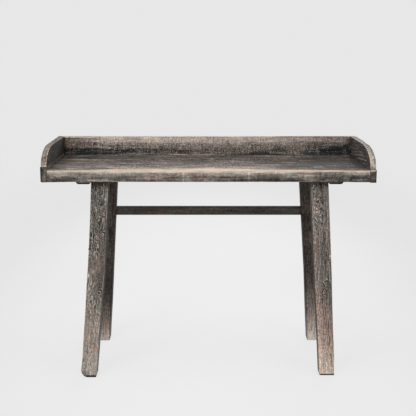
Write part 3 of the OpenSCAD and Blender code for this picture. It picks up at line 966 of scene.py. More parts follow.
def board_front_tone(piece, fade):
    """How light the front of the back board is; fade is how much its pale band loses."""
    low_x, low_z = piece.flat[:, X].min(), piece.flat[:, Z].min()
    x, up = piece.flat[:, X], piece.flat[:, Z] - low_z
    tone = along_points(up + 4 * MM * layered(piece.flat, (16, 0, 30), 3, 64), BOARD_TONE)
    tone -= fade * smooth(0.03, 0.055, up)
    tone += 0.12 * smooth(0.065, 0.069, up) * smooth(-0.42, -0.48, x)
    tone += 0.07 * smooth(0.063, 0.068, up) * smooth(-0.3, -0.36, x) * smooth(-0.54, -0.5, x)
    # The bark's place is patchy
    patchy = smooth(-0.35, 0.25, layered(piece.flat, (70, 0, 110), 2, 66))
    tone -= 0.08 * waney(piece.local, low_x) * patchy
    upper_share = smooth(-0.57, -0.5, x) * smooth(-0.04, -0.14, x) * (0.35 + 0.65 * patchy)
    tone -= 0.13 * upper_share * near(up, along_points(x, UPPER_DARK_LINE) * MM, 6.5 * MM, 2 * MM)
    lower_share = smooth(-0.27, -0.31, x)
    tone -= 0.12 * lower_share * near(up, along_points(x, LOWER_DARK_LINE) * MM, 6.5 * MM, 2 * MM)
    # Stains, and painted shade in the corners beside the side boards
    tone += piece.blotches(BOARD_STAINS_AND_SHADE, (X, Z), 0.45, low_z)
    from_knot = up - KNOT[1] * MM
    ring = near(np.hypot(x - KNOT[0] * MM, from_knot), 13 * MM, 4 * MM)
    tone += 0.12 * ring * smooth(-0.008, 0.006, from_knot)
    for at_x, at_up in PALE_DOTS:
        tone += 0.2 * smooth(5 * MM, 1 * MM, np.hypot((x - at_x * MM) * 0.7, up - at_up * MM))
    # A pale bead along the foot in places
    bead = smooth(4 * MM, 1 * MM, up) * smooth(0.05, 0.3, layered(piece.flat, (9, 0, 0), 2, 67))
    tone += 0.25 * bead * smooth(0.1, 0.0, x) * smooth(-0.44, -0.41, x)
    wavy = 1.2 * MM * layered(piece.flat, (24, 0, 0), 2, 68)
    for at_x, at_up, lean, reach, amount in STAIN_STREAKS:
        line = at_up * MM + lean * (x - at_x * MM) + wavy
        length = near(x, at_x * MM, reach * MM, 0.7 * reach * MM)
        tone += amount * near(up, line, 2.2 * MM, 0.2 * MM) * length
    # A dark line under the worn top at the left
    left_share = smooth(-0.42, -0.46, x) + smooth(-0.49, -0.52, x)
    return tone - 0.15 * left_share * near(up, 66 * MM, 4.5 * MM, 1.5 * MM)


def back_board():
    low, high = node_box("back_board")
    size = high - low

    def hollow(points):
        return 2.8 * MM * waney(points, low[X]) * (1 + 0.5 * noise(points, (60, 20, 90), 63))

    step = (3 * MM, 3.5 * MM, 2.5 * MM)
    piece = Piece("back_board_worn", size, step, shifted(low), X, 0.8 * MM, 5, 0.08 * MM, hollow, 0.3)
    x, up = piece.flat[:, X], piece.flat[:, Z] - low[Z]
    front = piece.side(Y, LOW, 3 * MM)
    top = piece.side(Z, HIGH, 2 * MM)
    # The pale band fades towards the right, and a little at the left end
    fade = smooth(0.1, 0.5, x) * 0.15 + smooth(-0.4, -0.5, x) * 0.13
    tone = board_front_tone(piece, fade)
    piece.tone = 0.34 * (1 - front) * (1 - top) + tone * front * (1 - top) + (0.6 - fade) * top
    piece.wear = 0.45 * smooth(3.5 * MM, 0, size[Z] - up) * smooth(0.5, 0.1, x) + 0.15 * top
    piece.warmth = 0.15 - 1.7 * front * smooth(0.32, 0.18, tone)
    piece.warmth += 0.6 * piece.blotch((-0.53, None, low[Z] + 0.045), (0.08, 1, 0.025))
    piece.figure = 0.35 + 0.4 * np.maximum(front, top) + 0.25 * front * smooth(0.056, 0.044, up)
    start = (-0.39, low[Y], low[Z] + 6 * MM)
    end = (-0.31, low[Y], low[Z] + 15 * MM)
    piece.cut(split_blade("split", start, end, (0, 7 * MM, 0), 2.2 * MM, 3))
    return piece


def upper_outline(node):
    """The outline of a side board in Y and Z, from its lower front corner to its upper back one."""
    points = mesh_points(frame["nodes"][node].data)[:, 1:]
    points = points[np.lexsort((points[:, 1], points[:, 0]))]
    line = []
    for point in points:
        while len(line) > 1:
            run, turn = line[-1] - line[-2], point - line[-2]
            if run[0] * turn[1] - run[1] * turn[0] < -1e-10:
                break
            line.pop()
        line.append(point)
    return np.array([p for p in line if p[1] > points[:, 1].min() or p is line[0]])


def along_line(line, share):
    """Points at shares of the length of a line."""
    steps = np.concatenate([[0], np.cumsum(np.linalg.norm(np.diff(line, axis=0), axis=1))])
    place = share * steps[-1]
    return np.stack([np.interp(place, steps, line[:, k]) for k in range(2)], -1)


# How much thicker the rear ends of the side boards are
THICKER_BEHIND = {LEFT: 4 * MM, RIGHT: 9 * MM}
# How far the outer arris of the right board is worn round
WORN_ARRIS = 8 * MM


def curved_place(node, end):
    """How the points of a flat box are carried onto a side board's outline, blending its four sides."""
    low, high = node_box(node)
    size = high - low
    outline = upper_outline(node)
    if outline[0][1] > low[Z] + 0.1 * MM:
        outline = np.vstack([[low[Y], low[Z]], outline])
    if outline[-1][0] < high[Y] - 0.1 * MM:
        outline = np.vstack([outline, [high[Y], high[Z]]])
    # The fall of the curve is divided between the board's front side and its upper side
    turn = int(np.argmax(outline[:, 1] - outline[:, 0]))
    front_line, top_line = outline[: turn + 1], outline[turn:]

    def place(points):
        u = (points[:, Y] / size[Y])[:, None]
        v = (points[:, Z] / size[Z])[:, None]
        base = np.hstack([low[Y] + u * size[Y], np.full_like(u, low[Z])])
        back = np.hstack([np.full_like(v, high[Y]), low[Z] + v * size[Z]])
        top = along_line(top_line, u[:, 0])
        front = along_line(front_line, v[:, 0])
        corners = (1 - u) * (1 - v) * front_line[0] + u * (1 - v) * (high[Y], low[Z])
        corners = corners + (1 - u) * v * front_line[-1] + u * v * (high[Y], high[Z])
        flat = (1 - v) * base + v * top + (1 - u) * front + u * back - corners
        # The rear end is thicker: its inner side leans towards the middle of the table
        across = points[:, X] / size[X]
        inner = 1 - across if end == RIGHT else across
        thicker = THICKER_BEHIND[end] * inner * np.clip((flat[:, 0] - low[Y]) / size[Y], 0, 1)
        return np.column_stack([low[X] + points[:, X] - end * thicker, flat])

    return place


def left_board_tones(piece, low_z, to_front):
    """How light the edge and the inner side of the left side board are."""
    z = piece.flat[:, Z]
    edge_tone = 0.34 + 0.1 * to_front - 0.12 * near(z, 0.812, 9 * MM, 4 * MM)
    edge_tone += 0.08 * near(z, 0.795, 9 * MM, 4 * MM) + 0.35 * smooth(4 * MM, 2 * MM, z - low_z)
    return edge_tone, 0.065 + 0.04 * to_front + 0.04 * layered(piece.flat, (1, 90, 10), 2, piece.seed + 5)


def right_board_tones(piece, low_y, to_front):
    """How light the edge and the inner side of the right side board are: pale wavy lines, a knot, and
    painted shade on the outer rim of its edge.
    """
    y, z = piece.flat[:, Y], piece.flat[:, Z]
    share = piece.local / piece.size
    # The outer rim of the edge is darkened with painted shade, where it slopes outward
    outer_rim_shade = smooth(0.5, 0.8, share[:, X]) * smooth(0.4, 0.8, share[:, Z])
    inner_tone = 0.185 + 0.05 * layered(piece.flat, (0, 7, 110), 2, 5)
    inner_tone += 0.03 * smooth(0.83, 0.78, z) * to_front
    inner_tone += 0.2 * near(np.hypot((y + 0.02) / (22 * MM), (z - 0.812) / (6 * MM)), 1, 0.45)
    wave = z + 0.1 * (y - low_y) + 9 * MM * layered(piece.flat, (0, 9, 20), 2, piece.seed + 6)
    line = smooth(0.3, 0.47, np.abs((wave / (13 * MM)) % 1 - 0.5))
    inner_tone += 0.42 * line * (0.5 + layered(piece.flat, (0, 14, 50), 2, piece.seed + 4))
    return 0.44 + 0.18 * to_front - 0.14 * outer_rim_shade, inner_tone


def gallery_board(node, end, seed):
    """A side board: straight behind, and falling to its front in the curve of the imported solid."""
    low, high = node_box(node)
    size = high - low

    def radius(points):
        """The outer arris of the right board is worn round, most of all on its top."""
        across = points[:, X] / size[X]
        outer = across if end == RIGHT else 1 - across
        worn = WORN_ARRIS * smooth(0.15, 0.85, points[:, Z] / size[Z]) if end == RIGHT else 0
        return 1.0 * MM + worn * smooth(0.35, 0.75, outer)

    # The right board needs a finer mesh, for the lines on its inner side
    step = (2.5 * MM, 4 * MM, 3 * MM) if end == LEFT else (2.5 * MM, 3 * MM, 1.6 * MM)
    place = curved_place(node, end)
    piece = Piece(node + "_worn", size, step, place, Y, radius, seed, 0.12 * MM, chips=0.3)
    inside = piece.side(X, HIGH if end == LEFT else LOW, 2.5 * MM)
    outside = piece.side(X, LOW if end == LEFT else HIGH, 2.5 * MM)
    edge = np.clip(piece.side(Y, LOW, 2.5 * MM) + piece.side(Z, HIGH, 2.5 * MM), 0, 1)
    to_front = smooth(front_y + 0.16, front_y + 0.02, piece.flat[:, Y])
    mottled = noises(piece.flat, (0.11, (60, 90, 90), 3, seed + 8), (0.06, (30, 30, 30), 1, seed))
    if end == LEFT:
        edge_tone, inner_tone = left_board_tones(piece, low[Z], to_front)
    else:
        edge_tone, inner_tone = right_board_tones(piece, low[Y], to_front)
    piece.tone = (0.33 + 0.5 * mottled) * (1 - edge) * (1 - inside)
    piece.tone += (edge_tone + mottled) * edge * (1 - inside) + (edge_tone + 0.06) * inside * edge
    piece.tone += (inner_tone + 0.3 * mottled) * inside * (1 - edge)
    piece.tone += 0.1 * edge * piece.arris(2.5 * MM) * (1 - outside)
    piece.figure = 0.3 + 0.7 * edge + 0.25 * inside
    piece.warmth = 0.2 * edge + (1.4 if end == LEFT else 0.1) * inside
    piece.cut(board_end_room(end, low[Z] - PAST))
    return piece


# The legs

# How far each leg's outer and inner sides stand out from its straight line, in mm, by height
LEG_SIDES = {
    "front_left_leg": (
        (0, 2, 2), (23, 2, 2), (61, -0.8, 2), (100, -1.5, 2.4), (176, -2.5, 2), (253, -4.5, 3.3),
        (330, -5, 4), (406, -5.9, 4), (483, -5.8, 3.5), (521, -5.1, 3), (598, -3.6, 2), (674, -1.3, 0.5),
        (733, 0, 0),
    ),
    "front_right_leg": (
        (0, 0, 1.2), (30, 0, 1), (61, 1.7, 0.6), (100, 1.3, 0), (160, 0, 0), (270, -0.7, 0), (400, 0, 0),
        (560, 0.7, 0), (733, 0, 0),
    ),
    "rear_left_leg": ((0, 0, 1), (160, 0.3, 0.8), (350, 1.5, -1.5), (500, 1.4, -1), (733, 0, 0)),
    "rear_right_leg": (
        (0, 0, 1.5), (90, 0, 0.4), (165, 0.7, -1.2), (238, 2, -3), (311, 3, -4.6), (450, 3, -3),
        (733, 0, 0),
    ),
}
# How far the lower corners of a leg are worn away, on its outer side and on its inner side
LEG_CORNERS = {"front_left_leg": (29 * MM, 4 * MM), "front_right_leg": (1.5 * MM, 1 * MM)}
# How light the front of each leg is, by height: partly the wood's own tone, and partly painted shade from
# the top above
LEG_TONE = {
    "front_left_leg": (
        (0, 0.585), (30, 0.585), (60, 0.58), (150, 0.51), (210, 0.48), (250, 0.455), (330, 0.41),
        (420, 0.38), (480, 0.35), (700, 0.35),
    ),
    "front_right_leg": (
        (0, 0.66), (80, 0.635), (140, 0.565), (220, 0.495), (300, 0.405), (450, 0.385), (600, 0.365),
        (700, 0.35),
    ),
    "rear_left_leg": (
        (0, 0.67), (30, 0.56), (60, 0.44), (110, 0.32), (160, 0.22), (220, 0.16), (350, 0.17), (450, 0.23),
        (550, 0.2), (700, 0.19),
    ),
    "rear_right_leg": (
        (0, 0.77), (30, 0.69), (60, 0.59), (100, 0.51), (150, 0.42), (200, 0.34), (240, 0.24), (300, 0.19),
        (350, 0.18), (450, 0.19), (550, 0.22), (700, 0.24),
    ),
}
# How much lighter the left part, the middle and the right part of each front leg are, by height
LEG_SHADE = {
    "front_left_leg": (
        (60, 0, 0, -0.02), (180, 0.03, 0, 0), (290, -0.02, -0.04, -0.05), (330, 0.02, -0.02, -0.07),
        (400, 0.05, 0.04, -0.07), (460, -0.03, 0.01, -0.05), (520, -0.05, -0.01, 0),
        (580, -0.03, -0.02, 0.04), (660, -0.09, 0, 0.06), (730, -0.09, -0.04, 0),
    ),
    "front_right_leg": (
        (30, 0.05, 0.02, 0), (60, 0.05, 0.01, 0), (120, 0.09, -0.08, 0), (180, 0.07, -0.06, 0.02),
        (240, 0.06, -0.07, -0.05), (300, 0, -0.08, -0.03), (400, -0.02, -0.04, 0.02), (500, 0, -0.01, 0.04),
        (650, -0.04, -0.01, 0.02), (730, -0.04, -0.02, 0),
    ),
}
# The knots in the front legs, each by x, height, size and number of rings
LEG_KNOTS = {
    "front_left_leg": (
        (-411, 580, 9, 3.2), (-400, 655, 12, 2.4), (-409, 320, 10, 3.2), (-385, 610, 8, 2),
        (-390, 535, 10, 2.5),
    ),
    "front_right_leg": (
        (415, 345, 10, 3), (423, 315, 8, 2.2), (392, 660, 10, 2.6), (397, 610, 8, 2.6), (400, 640, 7, 2),
    ),
}
# Bright dots on the front legs, each by its distance from the leg's left side, height and brightness
LEG_DOTS = {
    "front_left_leg": (
        (50, 592, 0.4), (50, 583, 0.35), (54, 664, 0.25), (18, 632, 0.25), (56, 645, 0.3), (6, 452, 0.3),
        (10, 465, 0.25), (6, 384, 0.3),
    ),
    "front_right_leg": (
        (10, 714, 0.3), (12, 666, 0.25), (18, 617, 0.35), (17, 628, 0.3), (44, 366, 0.35), (57, 364, 0.3),
        (60, 454, 0.3),
    ),
}
# How far the dark rim round the foot of each front leg reaches up
FOOT_RIM = {"front_left_leg": 8 * MM, "front_right_leg": 6.5 * MM}
# Where the drying cracks start in the foot of each front leg, to the right of its middle
CRACK_AT = {"front_left_leg": 3 * MM, "front_right_leg": 19 * MM}
# How light the end of each leg's tenon is, in the surface of the table
TENON_TONE = {"front_left_leg": 0.46, "front_right_leg": 0.37, "rear_left_leg": 0.3, "rear_right_leg": 0.27}
# How light the sides that face the middle of the table are, by height: darkened with painted shade
LEG_INNER_SHADE = ((0, 0.42), (100, 0.38), (200, 0.27), (300, 0.17), (730, 0.15))


def worn_corner(z, reach):
    """How far the side of a leg is worn in near the floor, along a quarter of a circle."""
    rise = np.clip(1 - z / max(reach, 0.1 * MM), 0, 1)
    return reach * (1 - np.sqrt(1 - rise**2))


def leg_block(line, seed):
    """The worn block of a leg, bent to its uneven sides."""
    size = np.array([LEG_TOP_W, LEG_D, underside_z + BEDDING])
    outer_wear, inner_wear = LEG_CORNERS.get(line.node, (1 * MM, 1 * MM))
    outer_line = [(height, outer) for height, outer, inner in LEG_SIDES[line.node]]
    inner_line = [(height, inner) for height, outer, inner in LEG_SIDES[line.node]]

    def place(points):
        z = points[:, Z]
        middle = line.middle(z)
        wide = LEG_FOOT_W + (LEG_TOP_W - LEG_FOOT_W) * np.clip(z / LEG_KNEE_Z, 0, 1)
        outward = line.end * (points[:, X] / size[X] - 0.5)
        outer_side = along_points(z, outer_line) * MM - worn_corner(z, outer_wear)
        inner_side = along_points(z, inner_line) * MM - worn_corner(z, inner_wear)
        out = outward * wide + (0.5 + outward) * outer_side - (0.5 - outward) * inner_side
        x = middle[:, 0] + line.end * out
        y = middle[:, 1] + points[:, Y] - size[Y] / 2
        return np.column_stack([x, y, z])

    def radius(points):
        up = points[:, Z]
        at_foot = smooth(8 * MM, 0, up)
        under_top = smooth(underside_z - 12 * MM, underside_z, up)
        return (1.8 - 0.9 * at_foot - 1.2 * under_top) * MM

    def hollow(points):
        back, up = points[:, Y], points[:, Z]
        dip = 0.4 * MM * smooth(0, 1, noise(points, (3, 3, 5), seed + 5))
        worn_foot = 3 * MM * smooth(2 * MM, 0, up) * smooth(30 * MM, 5 * MM, back)
        return dip + worn_foot * (line.node == "rear_right_leg")

    step = (2.5 * MM, 3.5 * MM, 4 * MM)
    return Piece(line.node + "_worn", size, step, place, Z, radius, seed, 0.15 * MM, hollow)


def mark_front_leg(piece, line, front):
    """Knots, dots, shading and a dark rim round the foot, as both front legs have them."""
    across, up = piece.local[:, X], piece.local[:, Z]
    u = across / piece.size[X]
    rim = FOOT_RIM[line.node]
    piece.tone -= 0.6 * smooth(rim, rim - 2.5 * MM, up)
    shade = LEG_SHADE[line.node]
    left, middle, right = (along_points(up, [(row[0], row[k]) for row in shade]) for k in (1, 2, 3))
    at_left, at_right = smooth(0.45, 0.15, u), smooth(0.55, 0.85, u)
    piece.tone += (left * at_left + right * at_right + middle * (1 - at_left - at_right)) * front
    piece.warmth -= 0.7 * smooth(0.07, 0.02, up)
    for at_across, at_z, bright in LEG_DOTS[line.node]:
        away = np.hypot(across - at_across * MM, up - at_z * MM)
        piece.tone += bright * smooth(4.5 * MM, 1 * MM, away) * front
    x, z = piece.flat[:, X], piece.flat[:, Z]
    for at_x, at_z, reach, count in LEG_KNOTS[line.node]:
        away = np.hypot(x - at_x * MM, (z - at_z * MM) * 0.7) / (reach * MM)
        piece.knots += count * np.exp(-(away**2)) * front


def mark_front_left_leg(piece, line, front):
    up = piece.local[:, Z]
    u = piece.local[:, X] / piece.size[X]
    left_part = smooth(0.75, 0.45, u)
    plain_band = near(up, 0.42, 0.05, 0.02)
    piece.figure += (0.45 * smooth(0.18, 0.24, up) * left_part + 0.1 * smooth(0.4, 0.5, up)) * front
    piece.figure -= 0.5 * plain_band
    piece.tone += (0.09 * left_part - 0.04) * near(up, 0.33, 0.08, 0.04)
    splintered = smooth(0.1, 0.3, noise(piece.flat, (1, 1, 60), 9))
    piece.wear += 0.4 * piece.arris(3 * MM) * smooth(0.8, 1, u) * smooth(0.28, 0.36, up) * front
    piece.wear += 0.3 * piece.arris(2.5 * MM) * smooth(0.2, 0, u) * splintered * front
    piece.warmth += 0.3 * plain_band - 0.25 * left_part * smooth(0.48, 0.52, up)
    # The worn corner of the foot is darker and rusty
    corner = (line.foot[0] - 18 * MM, None, 0.014)
    piece.tone -= 0.2 * piece.blotch(corner, (0.012, 1, 0.014), 0.3) * front
    piece.warmth += 1.5 * piece.blotch(corner, (0.014, 1, 0.016), 0.3) * front


def mark_front_right_leg(piece, line, front):
    up = piece.local[:, Z]
    u = piece.local[:, X] / piece.size[X]
    left_part = smooth(0.62, 0.4, u)
    high = smooth(0.54, 0.6, up)
    piece.tone += (0.06 * left_part - 0.01) * high + 0.05 * smooth(0.3, 0.1, u) * smooth(0.22, 0.28, up)
    piece.figure += (0.6 * high * left_part + 0.1) * front
    piece.figure += piece.blotch((line.middle(0.33)[0] + 4 * MM, None, 0.345), (0.018, 1, 0.04), 0.2)
    # A thin line across the leg, and its darker right arris
    piece.tone -= 0.1 * near(up, 0.573, 2.2 * MM) * smooth(0.35, 0.6, u) * front
    piece.tone -= 0.12 * piece.arris(2.5 * MM) * smooth(0.8, 1, u) * front
    piece.wear += 0.35 * piece.arris(3 * MM) * smooth(0.2, 0, u) * smooth(0.24, 0.3, up) * front
    piece.warmth += 0.5 * smooth(0.32, 0.2, up) + 0.3 * smooth(0.35, 0.2, u) * smooth(0.56, 0.5, up)
    piece.warmth += 0.5 * left_part * near(up, 0.28, 0.08, 0.04)


def mark_rear_leg(piece, line, front):
    up = piece.local[:, Z]
    u = piece.local[:, X] / piece.size[X]
    outward = u if line.end == RIGHT else 1 - u
    piece.figure *= 0.5
    piece.warmth += 0.4 * smooth(0.12, 0.3, up) - 0.5 * smooth(0.1, 0.03, up)
    # Painted shade along the inner edge of the front, low on the leg
    piece.tone -= 0.2 * smooth(0.09, 0.03, outward) * front * smooth(0.36, 0.26, up)
    if line.end == RIGHT:
        piece.tone -= 0.08 * piece.blotch((None, None, 0.53), (1, 1, 0.03), 0.4)
        piece.tone += 0.04 * piece.blotch((None, None, 0.45), (1, 1, 0.03), 0.4)


def mark_leg(piece, line):
    """The marks that all legs have, and then those of each leg."""
    up = piece.local[:, Z]
    seed = piece.seed
    front = piece.side(Y, LOW, 2.5 * MM)
    inner_side = piece.side(X, HIGH if line.end == LEFT else LOW, 2 * MM) * (1 - front)
    ragged = up + 0.02 * layered(piece.flat, (30, 30, 12), 2, seed)
    tone = along_points(ragged, LEG_TONE[line.node]) + 0.07 * layered(piece.flat, (50, 50, 14), 3, seed + 2)
    tone -= 0.04 * (1 - front)
    # The sides that face the middle of the table are painted darker, as shade
    inner_tone = along_points(ragged, LEG_INNER_SHADE) + 0.04 * layered(piece.flat, (60, 60, 6), 2, seed + 3)
    piece.tone = tone * (1 - inner_side) + inner_tone * inner_side
    # Darker round the foot, and painted shade at the top of the front, where the top shades the leg
    piece.tone -= 0.15 * smooth(3 * MM, 1 * MM, up)
    piece.tone -= 0.15 * smooth(underside_z - 30 * MM, underside_z - 12 * MM, up) * front
    piece.wear = 0.1 * piece.arris(3 * MM) * (1 - inner_side) * smooth(8 * MM, 16 * MM, up)
    piece.figure = np.full(len(up), 0.5)
    piece.warmth = 0.3 * smooth(0.3, 0.16, up)
    if line.row == REAR:
        mark_rear_leg(piece, line, front)
        return
    mark_front_leg(piece, line, front)
    if line.end == LEFT:
        mark_front_left_leg(piece, line, front)
    else:
        mark_front_right_leg(piece, line, front)


def crack_foot(piece, line):
    """Two drying cracks that rise from the foot of a front leg."""
    lean = (line.top - line.foot) / underside_z
    face_y = line.foot[1] - LEG_D / 2
    at = line.foot[0] + CRACK_AT[line.node]
    for low_z, high_z, shift in ((0.012, 0.09, 0), (0.1, 0.16, -4 * MM)):
        ends = [(at + shift + lean[0] * z, face_y + lean[1] * z, z) for z in (low_z, high_z)]
        piece.cut(split_blade("split", *ends, (0, 9 * MM, 0), 1.5 * MM, piece.seed))


def leg(line, seed):
    piece = leg_block(line, seed)
    mark_leg(piece, line)
    tenon_top = surface_z - 0.25 * MM
    piece.join(line.bar("tenon", underside_z - 2 * PAST, tenon_top, (TENON_W, TENON_D)))
    # The end of the tenon has a tone of its own, kept at a few places on it
    x, y = line.middle(surface_z)
    shares = np.linspace(-0.5, 0.5, 5)
    tenon_end = np.array([(x + a * TENON_W, y + b * TENON_D, surface_z) for a in shares for b in shares])
    piece.mark_more(tenon_end, np.full(len(tenon_end), TENON_TONE[line.node]))
    slot = (WEDGE_T + JOINT_GAP, TENON_D + PAST)
    piece.cut(line.bar("slot", surface_z - WEDGE_H, surface_z + MM, slot))
    if line.row == FRONT:
        crack_foot(piece, line)
    return piece


# The battens, the stretchers and their pegs

# How far the lower edges of a batten are rounded in, on its outer side and on its inner side
BATTEN_ROUNDING = (13 * MM, 9 * MM)
# Places on the end of a dovetail where it takes on the looks of the plank
TAIL_ACROSS = np.linspace(-19 * MM, 19 * MM, 8)
TAIL_UP = np.linspace(-5 * MM, 20 * MM, 8)


def batten(node, seed):
    low, high = node_box(node)
    size = np.array([high[X] - low[X], high[Y] - low[Y], underside_z + BEDDING - low[Z]])
    drop = underside_z - low[Z]
    end = LEFT if low[X] < 0 else RIGHT
    outer_rounding, inner_rounding = BATTEN_ROUNDING

    def place(points):
        """Rounds the lower edges along a quarter of an ellipse."""
        share = points[:, X] / size[X]
        outer = share if end == RIGHT else 1 - share
        rise = np.clip(1 - points[:, Z] / drop, 0, 1)
        inset = 1 - np.sqrt(1 - rise**2)
        shift = 2 * np.where(outer > 0.5, -outer_rounding * (outer - 0.5), inner_rounding * (0.5 - outer))
        placed = points + low
        placed[:, X] += end * shift * inset
        return placed

    step = (2.5 * MM, 4 * MM, 1.2 * MM)
    piece = Piece(node + "_worn", size, step, place, Y, 0.8 * MM, seed, dent=0.15 * MM)
    front = piece.side(Y, LOW)
    piece.tone = SHADED_WOOD * (1 - front) + face_tone(piece.flat) * front
    # Painted shade along the rounded lower edge, which faces down
    piece.tone -= 0.5 * smooth(7.5 * MM, 4.5 * MM, piece.local[:, Z])
    piece.figure = 0.2 + 0.15 * front
    notch = (LEG_TOP_W + 2 * BATTEN_LEG_GAP, LEG_D + 2 * BATTEN_LEG_GAP)
    for line in LEGS:
        if line.end == end:
            piece.cut(line.bar("notch", low[Z] - PAST, underside_z + PAST, notch))
    span = (front_y + 0.5 * MM, back_y - 0.5 * MM)
    piece.join(dovetail("tail", node, 0, span, underside_z - 5 * MM))
    # The ends of the dovetail look like the face of the plank round them
    places = [(x, y, z) for x in TAIL_ACROSS for y in (front_y, back_y) for z in TAIL_UP]
    tail = np.array(places) + np.array([(low[X] + high[X]) / 2, 0, underside_z])
    piece.mark_more(tail, face_tone(tail))
    return piece


def stretcher(node, along, seed):
    low, high = node_box(node)
    step = (4 * MM, 4 * MM, 3.5 * MM)
    piece = Piece(node + "_worn", high - low, step, shifted(low), along, 1.8 * MM, seed)
    piece.tone = 0.265 + 0.04 * layered(piece.flat, (12, 12, 50), 2, seed) - 0.06 * piece.side(Z, HIGH)
    piece.figure *= 0.4
    piece.warmth += 0.1
    return piece


def loose_parts(node):
    """The boxes of the separate solids of a node."""
    shape = bmesh.new()
    shape.from_mesh(frame["nodes"][node].data)
    left = set(shape.verts)
    boxes = []
    while left:
        wave = [left.pop()]
        found = []
        while wave:
            vertex = wave.pop()
            found.append(vertex.co[:])
            for edge in vertex.link_edges:
                other = edge.other_vert(vertex)
                if other in left:
                    left.remove(other)
                    wave.append(other)
        boxes.append((np.min(found, axis=0), np.max(found, axis=0)))
    shape.free()
    return boxes


# The rings of a hewn peg, by share of its length and share of its width
PEG_RINGS = (
    (0, 0.35), (0, 0.8), (0.015, 0.95), (0.04, 1), (0.5, 1), (0.96, 1), (0.985, 0.95), (1, 0.8), (1, 0.35),
)
PEG_AROUND = 16
HEWN_SIDES = 8
HEWN_DEPTH = 0.05


def hewn_pegs(node, material):
    """Pegs cut by hand with eight uneven sides and a bruised end, in place of the plain ones."""
    random = np.random.default_rng(SEED + len(node))
    points, faces = [], []
    for low, high in loose_parts(node):
        size = high - low
        along = int(np.argmax(size))
        first, second = [axis for axis in range(3) if axis != along]
        turn = random.random() * math.pi
        faces += ring_faces(len(PEG_RINGS), PEG_AROUND, len(points))
        for share, width in PEG_RINGS:
            for k in range(PEG_AROUND):
                angle = 2 * math.pi * k / PEG_AROUND
                facet = math.cos((angle * HEWN_SIDES + turn) % (2 * math.pi) / 2) ** 2 * HEWN_DEPTH
                reach = size[first] / 2 * width * (1 - facet)
                point = (low + high) / 2
                point[along] = low[along] + share * size[along]
                point[first] += reach * math.cos(angle)
                point[second] += reach * math.sin(angle)
                points.append(point)
    dress(new_object(node + "_worn", points, faces), material, node)


# The stage

# Half the side of the floor
FLOOR_HALF = 40.0
# How light the paper is, by the distance from the place where it is lightest as a share of PAPER_REACH
PAPER_LIGHT = ((0, 0.866), (0.2, 0.852), (0.37, 0.828), (0.5, 0.79), (0.6, 0.775), (0.72, 0.78), (1, 0.8))
PAPER_REACH = 3.5
# The colour of the paper where light falls on it, and of what the camera sees beyond it
PAPER_GREY = (0.8, 0.8, 0.8, 1)
# How strong the soft light from all round is
SKY_STRENGTH = 0.42


def direct_rays(s):
    """1 for rays that show the stage itself, and 0 for those that only light the table."""
    path = s.add("ShaderNodeLightPath").outputs
    return s.larger(s.larger(path["Is Camera Ray"], path["Is Glossy Ray"]), path["Is Transmission Ray"])


def stage():
    corners = [(x * FLOOR_HALF, y * FLOOR_HALF, 0) for x, y in SQUARE]
    floor = new_object("floor", corners, [(0, 1, 2, 3)])
    s = Shader(bpy.data.materials.new("floor_paper"))
    place = s.add("ShaderNodeNewGeometry").outputs["Position"]
    far = s.vector("LENGTH", s.vector("SUBTRACT", place, (0, 0.5, 0)), (0, 0, 0), "Value")
    # The paper is lightest behind the legs, darker at both sides and a little lighter again far behind
    oval = s.vector("MULTIPLY", s.vector("SUBTRACT", place, (0, 1, 0)), (1.6, 0.6, 1))
    oval = s.vector("LENGTH", oval, (0, 0, 0), "Value")
    glow = s.ramp(s.times(oval, 1 / PAPER_REACH), [(share, (light,) * 3) for share, light in PAPER_LIGHT])
    light = s.add("ShaderNodeEmission", {"Color": glow, "Strength": 1.0}).outputs[0]
    paper = s.add("ShaderNodeBsdfDiffuse", {"Color": PAPER_GREY}).outputs[0]
    shadow_share = s.between(far, 2.2, 0.6, 0.0, 0.14)
    seen = s.either(shadow_share, light, paper)
    s.add("ShaderNodeOutputMaterial", {0: s.either(direct_rays(s), paper, seen)})
    floor.data.materials.append(s.owner)


def world():
    """Soft light from all round, and plain grey where the camera sees past the floor."""
    s = Shader(bpy.data.worlds.new("studio"))
    bpy.context.scene.world = s.owner
    seen = s.add("ShaderNodeBackground", {"Color": PAPER_GREY}).outputs[0]
    soft = s.add("ShaderNodeBackground", {"Color": (1, 1, 1, 1), "Strength": SKY_STRENGTH}).outputs[0]
    s.add("ShaderNodeOutputWorld", {0: s.either(direct_rays(s), soft, seen)})


# The area lights: name, place, height aimed at above the middle of the table, sides and power
LIGHTS = (
    ("key", (-1.9, -3.1, 2.5), 0.6, (2.0, 1.6), 75),
    ("fill", (2.6, -2.6, 1.7), 0.5, (1.6, 1.6), 28),
    ("overhead", (0, -0.2, 3.2), 0.7, (2.4, 1.2), 26),
    ("behind", (0.8, 3.2, 2.2), 0.6, (2.2, 1.6), 55),
)


def area_light(name, place, aim_z, size, power):
    data = bpy.data.lights.new(name, "AREA")
    data.shape = "RECTANGLE"
    data.size, data.size_y = size
    data.energy = power
    lamp = bpy.data.objects.new(name, data)
    bpy.context.scene.collection.objects.link(lamp)
    lamp.location = place
    lamp.rotation_euler = (Vector((0, 0, aim_z)) - Vector(place)).to_track_quat("-Z", "Y").to_euler()


def camera():
    data = bpy.data.cameras.new("camera")
    data.lens = CAMERA_LENS
    data.sensor_width = CAMERA_SENSOR
    made = bpy.data.objects.new("camera", data)
    bpy.context.scene.collection.objects.link(made)
    made.location = CAMERA_AT
    made.rotation_euler = (math.pi / 2 - CAMERA_TILT, 0, 0)
    bpy.context.scene.camera = made


# Everything together

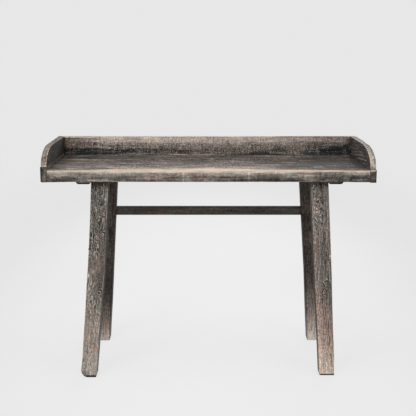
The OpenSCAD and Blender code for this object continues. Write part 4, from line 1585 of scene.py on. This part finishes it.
top_elm = elm(
    "top_elm", tints=5.0, fibres=0.25, streaks=0.4, bands=0.3, clouds=0.2, specks=0.45, chatter=0.25,
    grit=0.2, flecks=0.7,
)
gallery_elm = elm(
    "gallery_elm", tints=2.8, fibres=0.35, ticks=0.35, streaks=0.15, bands=0.15, clouds=0.2, specks=1.15,
    chatter=0.45,
)
strip_elm = elm("end_strip_elm", fibres=0.25, streaks=0.35, bands=0.3, clouds=0.25, specks=0.4, chatter=0.3)
leg_elm = elm(
    "leg_elm", rings=0.05, lines=0.28, curl=3.5, tints=5.0, fibres=0.15, ticks=0.12, streaks=0.2,
    bands=0.15, clouds=0.15, mottle=0.4, specks=0.45, chatter=0.2,
)
rail_elm = elm(
    "rail_elm", rings=0.05, tints=9.0, fibres=0.15, ticks=0.2, streaks=0.15, bands=0.15, mottle=0.2,
    specks=0.3,
)
peg_wood = elm("peg_wood", own_grain=False, fibres=0.25, streaks=0.35, bands=0.3, specks=0.5)

front_plank().finish(top_elm, "front_plank", "top_elm")
rear_plank().finish(top_elm, "rear_plank", "top_elm")
for node, end, seed in (("left_end_strip", LEFT, 3), ("right_end_strip", RIGHT, 4)):
    end_strip(node, end, seed).finish(strip_elm, node, "end_strip_elm")
back_board().finish(gallery_elm, "back_board", "gallery_elm")
for node, end, seed in (("left_gallery_board", LEFT, 6), ("right_gallery_board", RIGHT, 7)):
    gallery_board(node, end, seed).finish(gallery_elm, node, "gallery_elm")
for seed, line in enumerate(LEGS, 8):
    leg(line, seed).finish(leg_elm, line.node, "leg_elm")
for node, seed in (("left_batten", 12), ("right_batten", 13)):
    batten(node, seed).finish(top_elm, node, "top_elm")
for node, along, seed in (
    ("rear_stretcher", X, 14), ("left_side_stretcher", Y, 15), ("right_side_stretcher", Y, 16),
):
    stretcher(node, along, seed).finish(rail_elm, node, "rail_elm")
for node in ("rear_stretcher_pegs", "side_stretcher_pegs", "end_strip_pegs"):
    hewn_pegs(node, peg_wood)
for node in ("tenon_wedges", "side_board_dowels", "back_board_dowels"):
    made = frame["nodes"][node]
    made.data.materials.clear()
    made.data.materials.append(peg_wood)

stage()
world()
for light in LIGHTS:
    area_light(*light)
camera()
bpy.context.scene.view_settings.view_transform = "Standard"
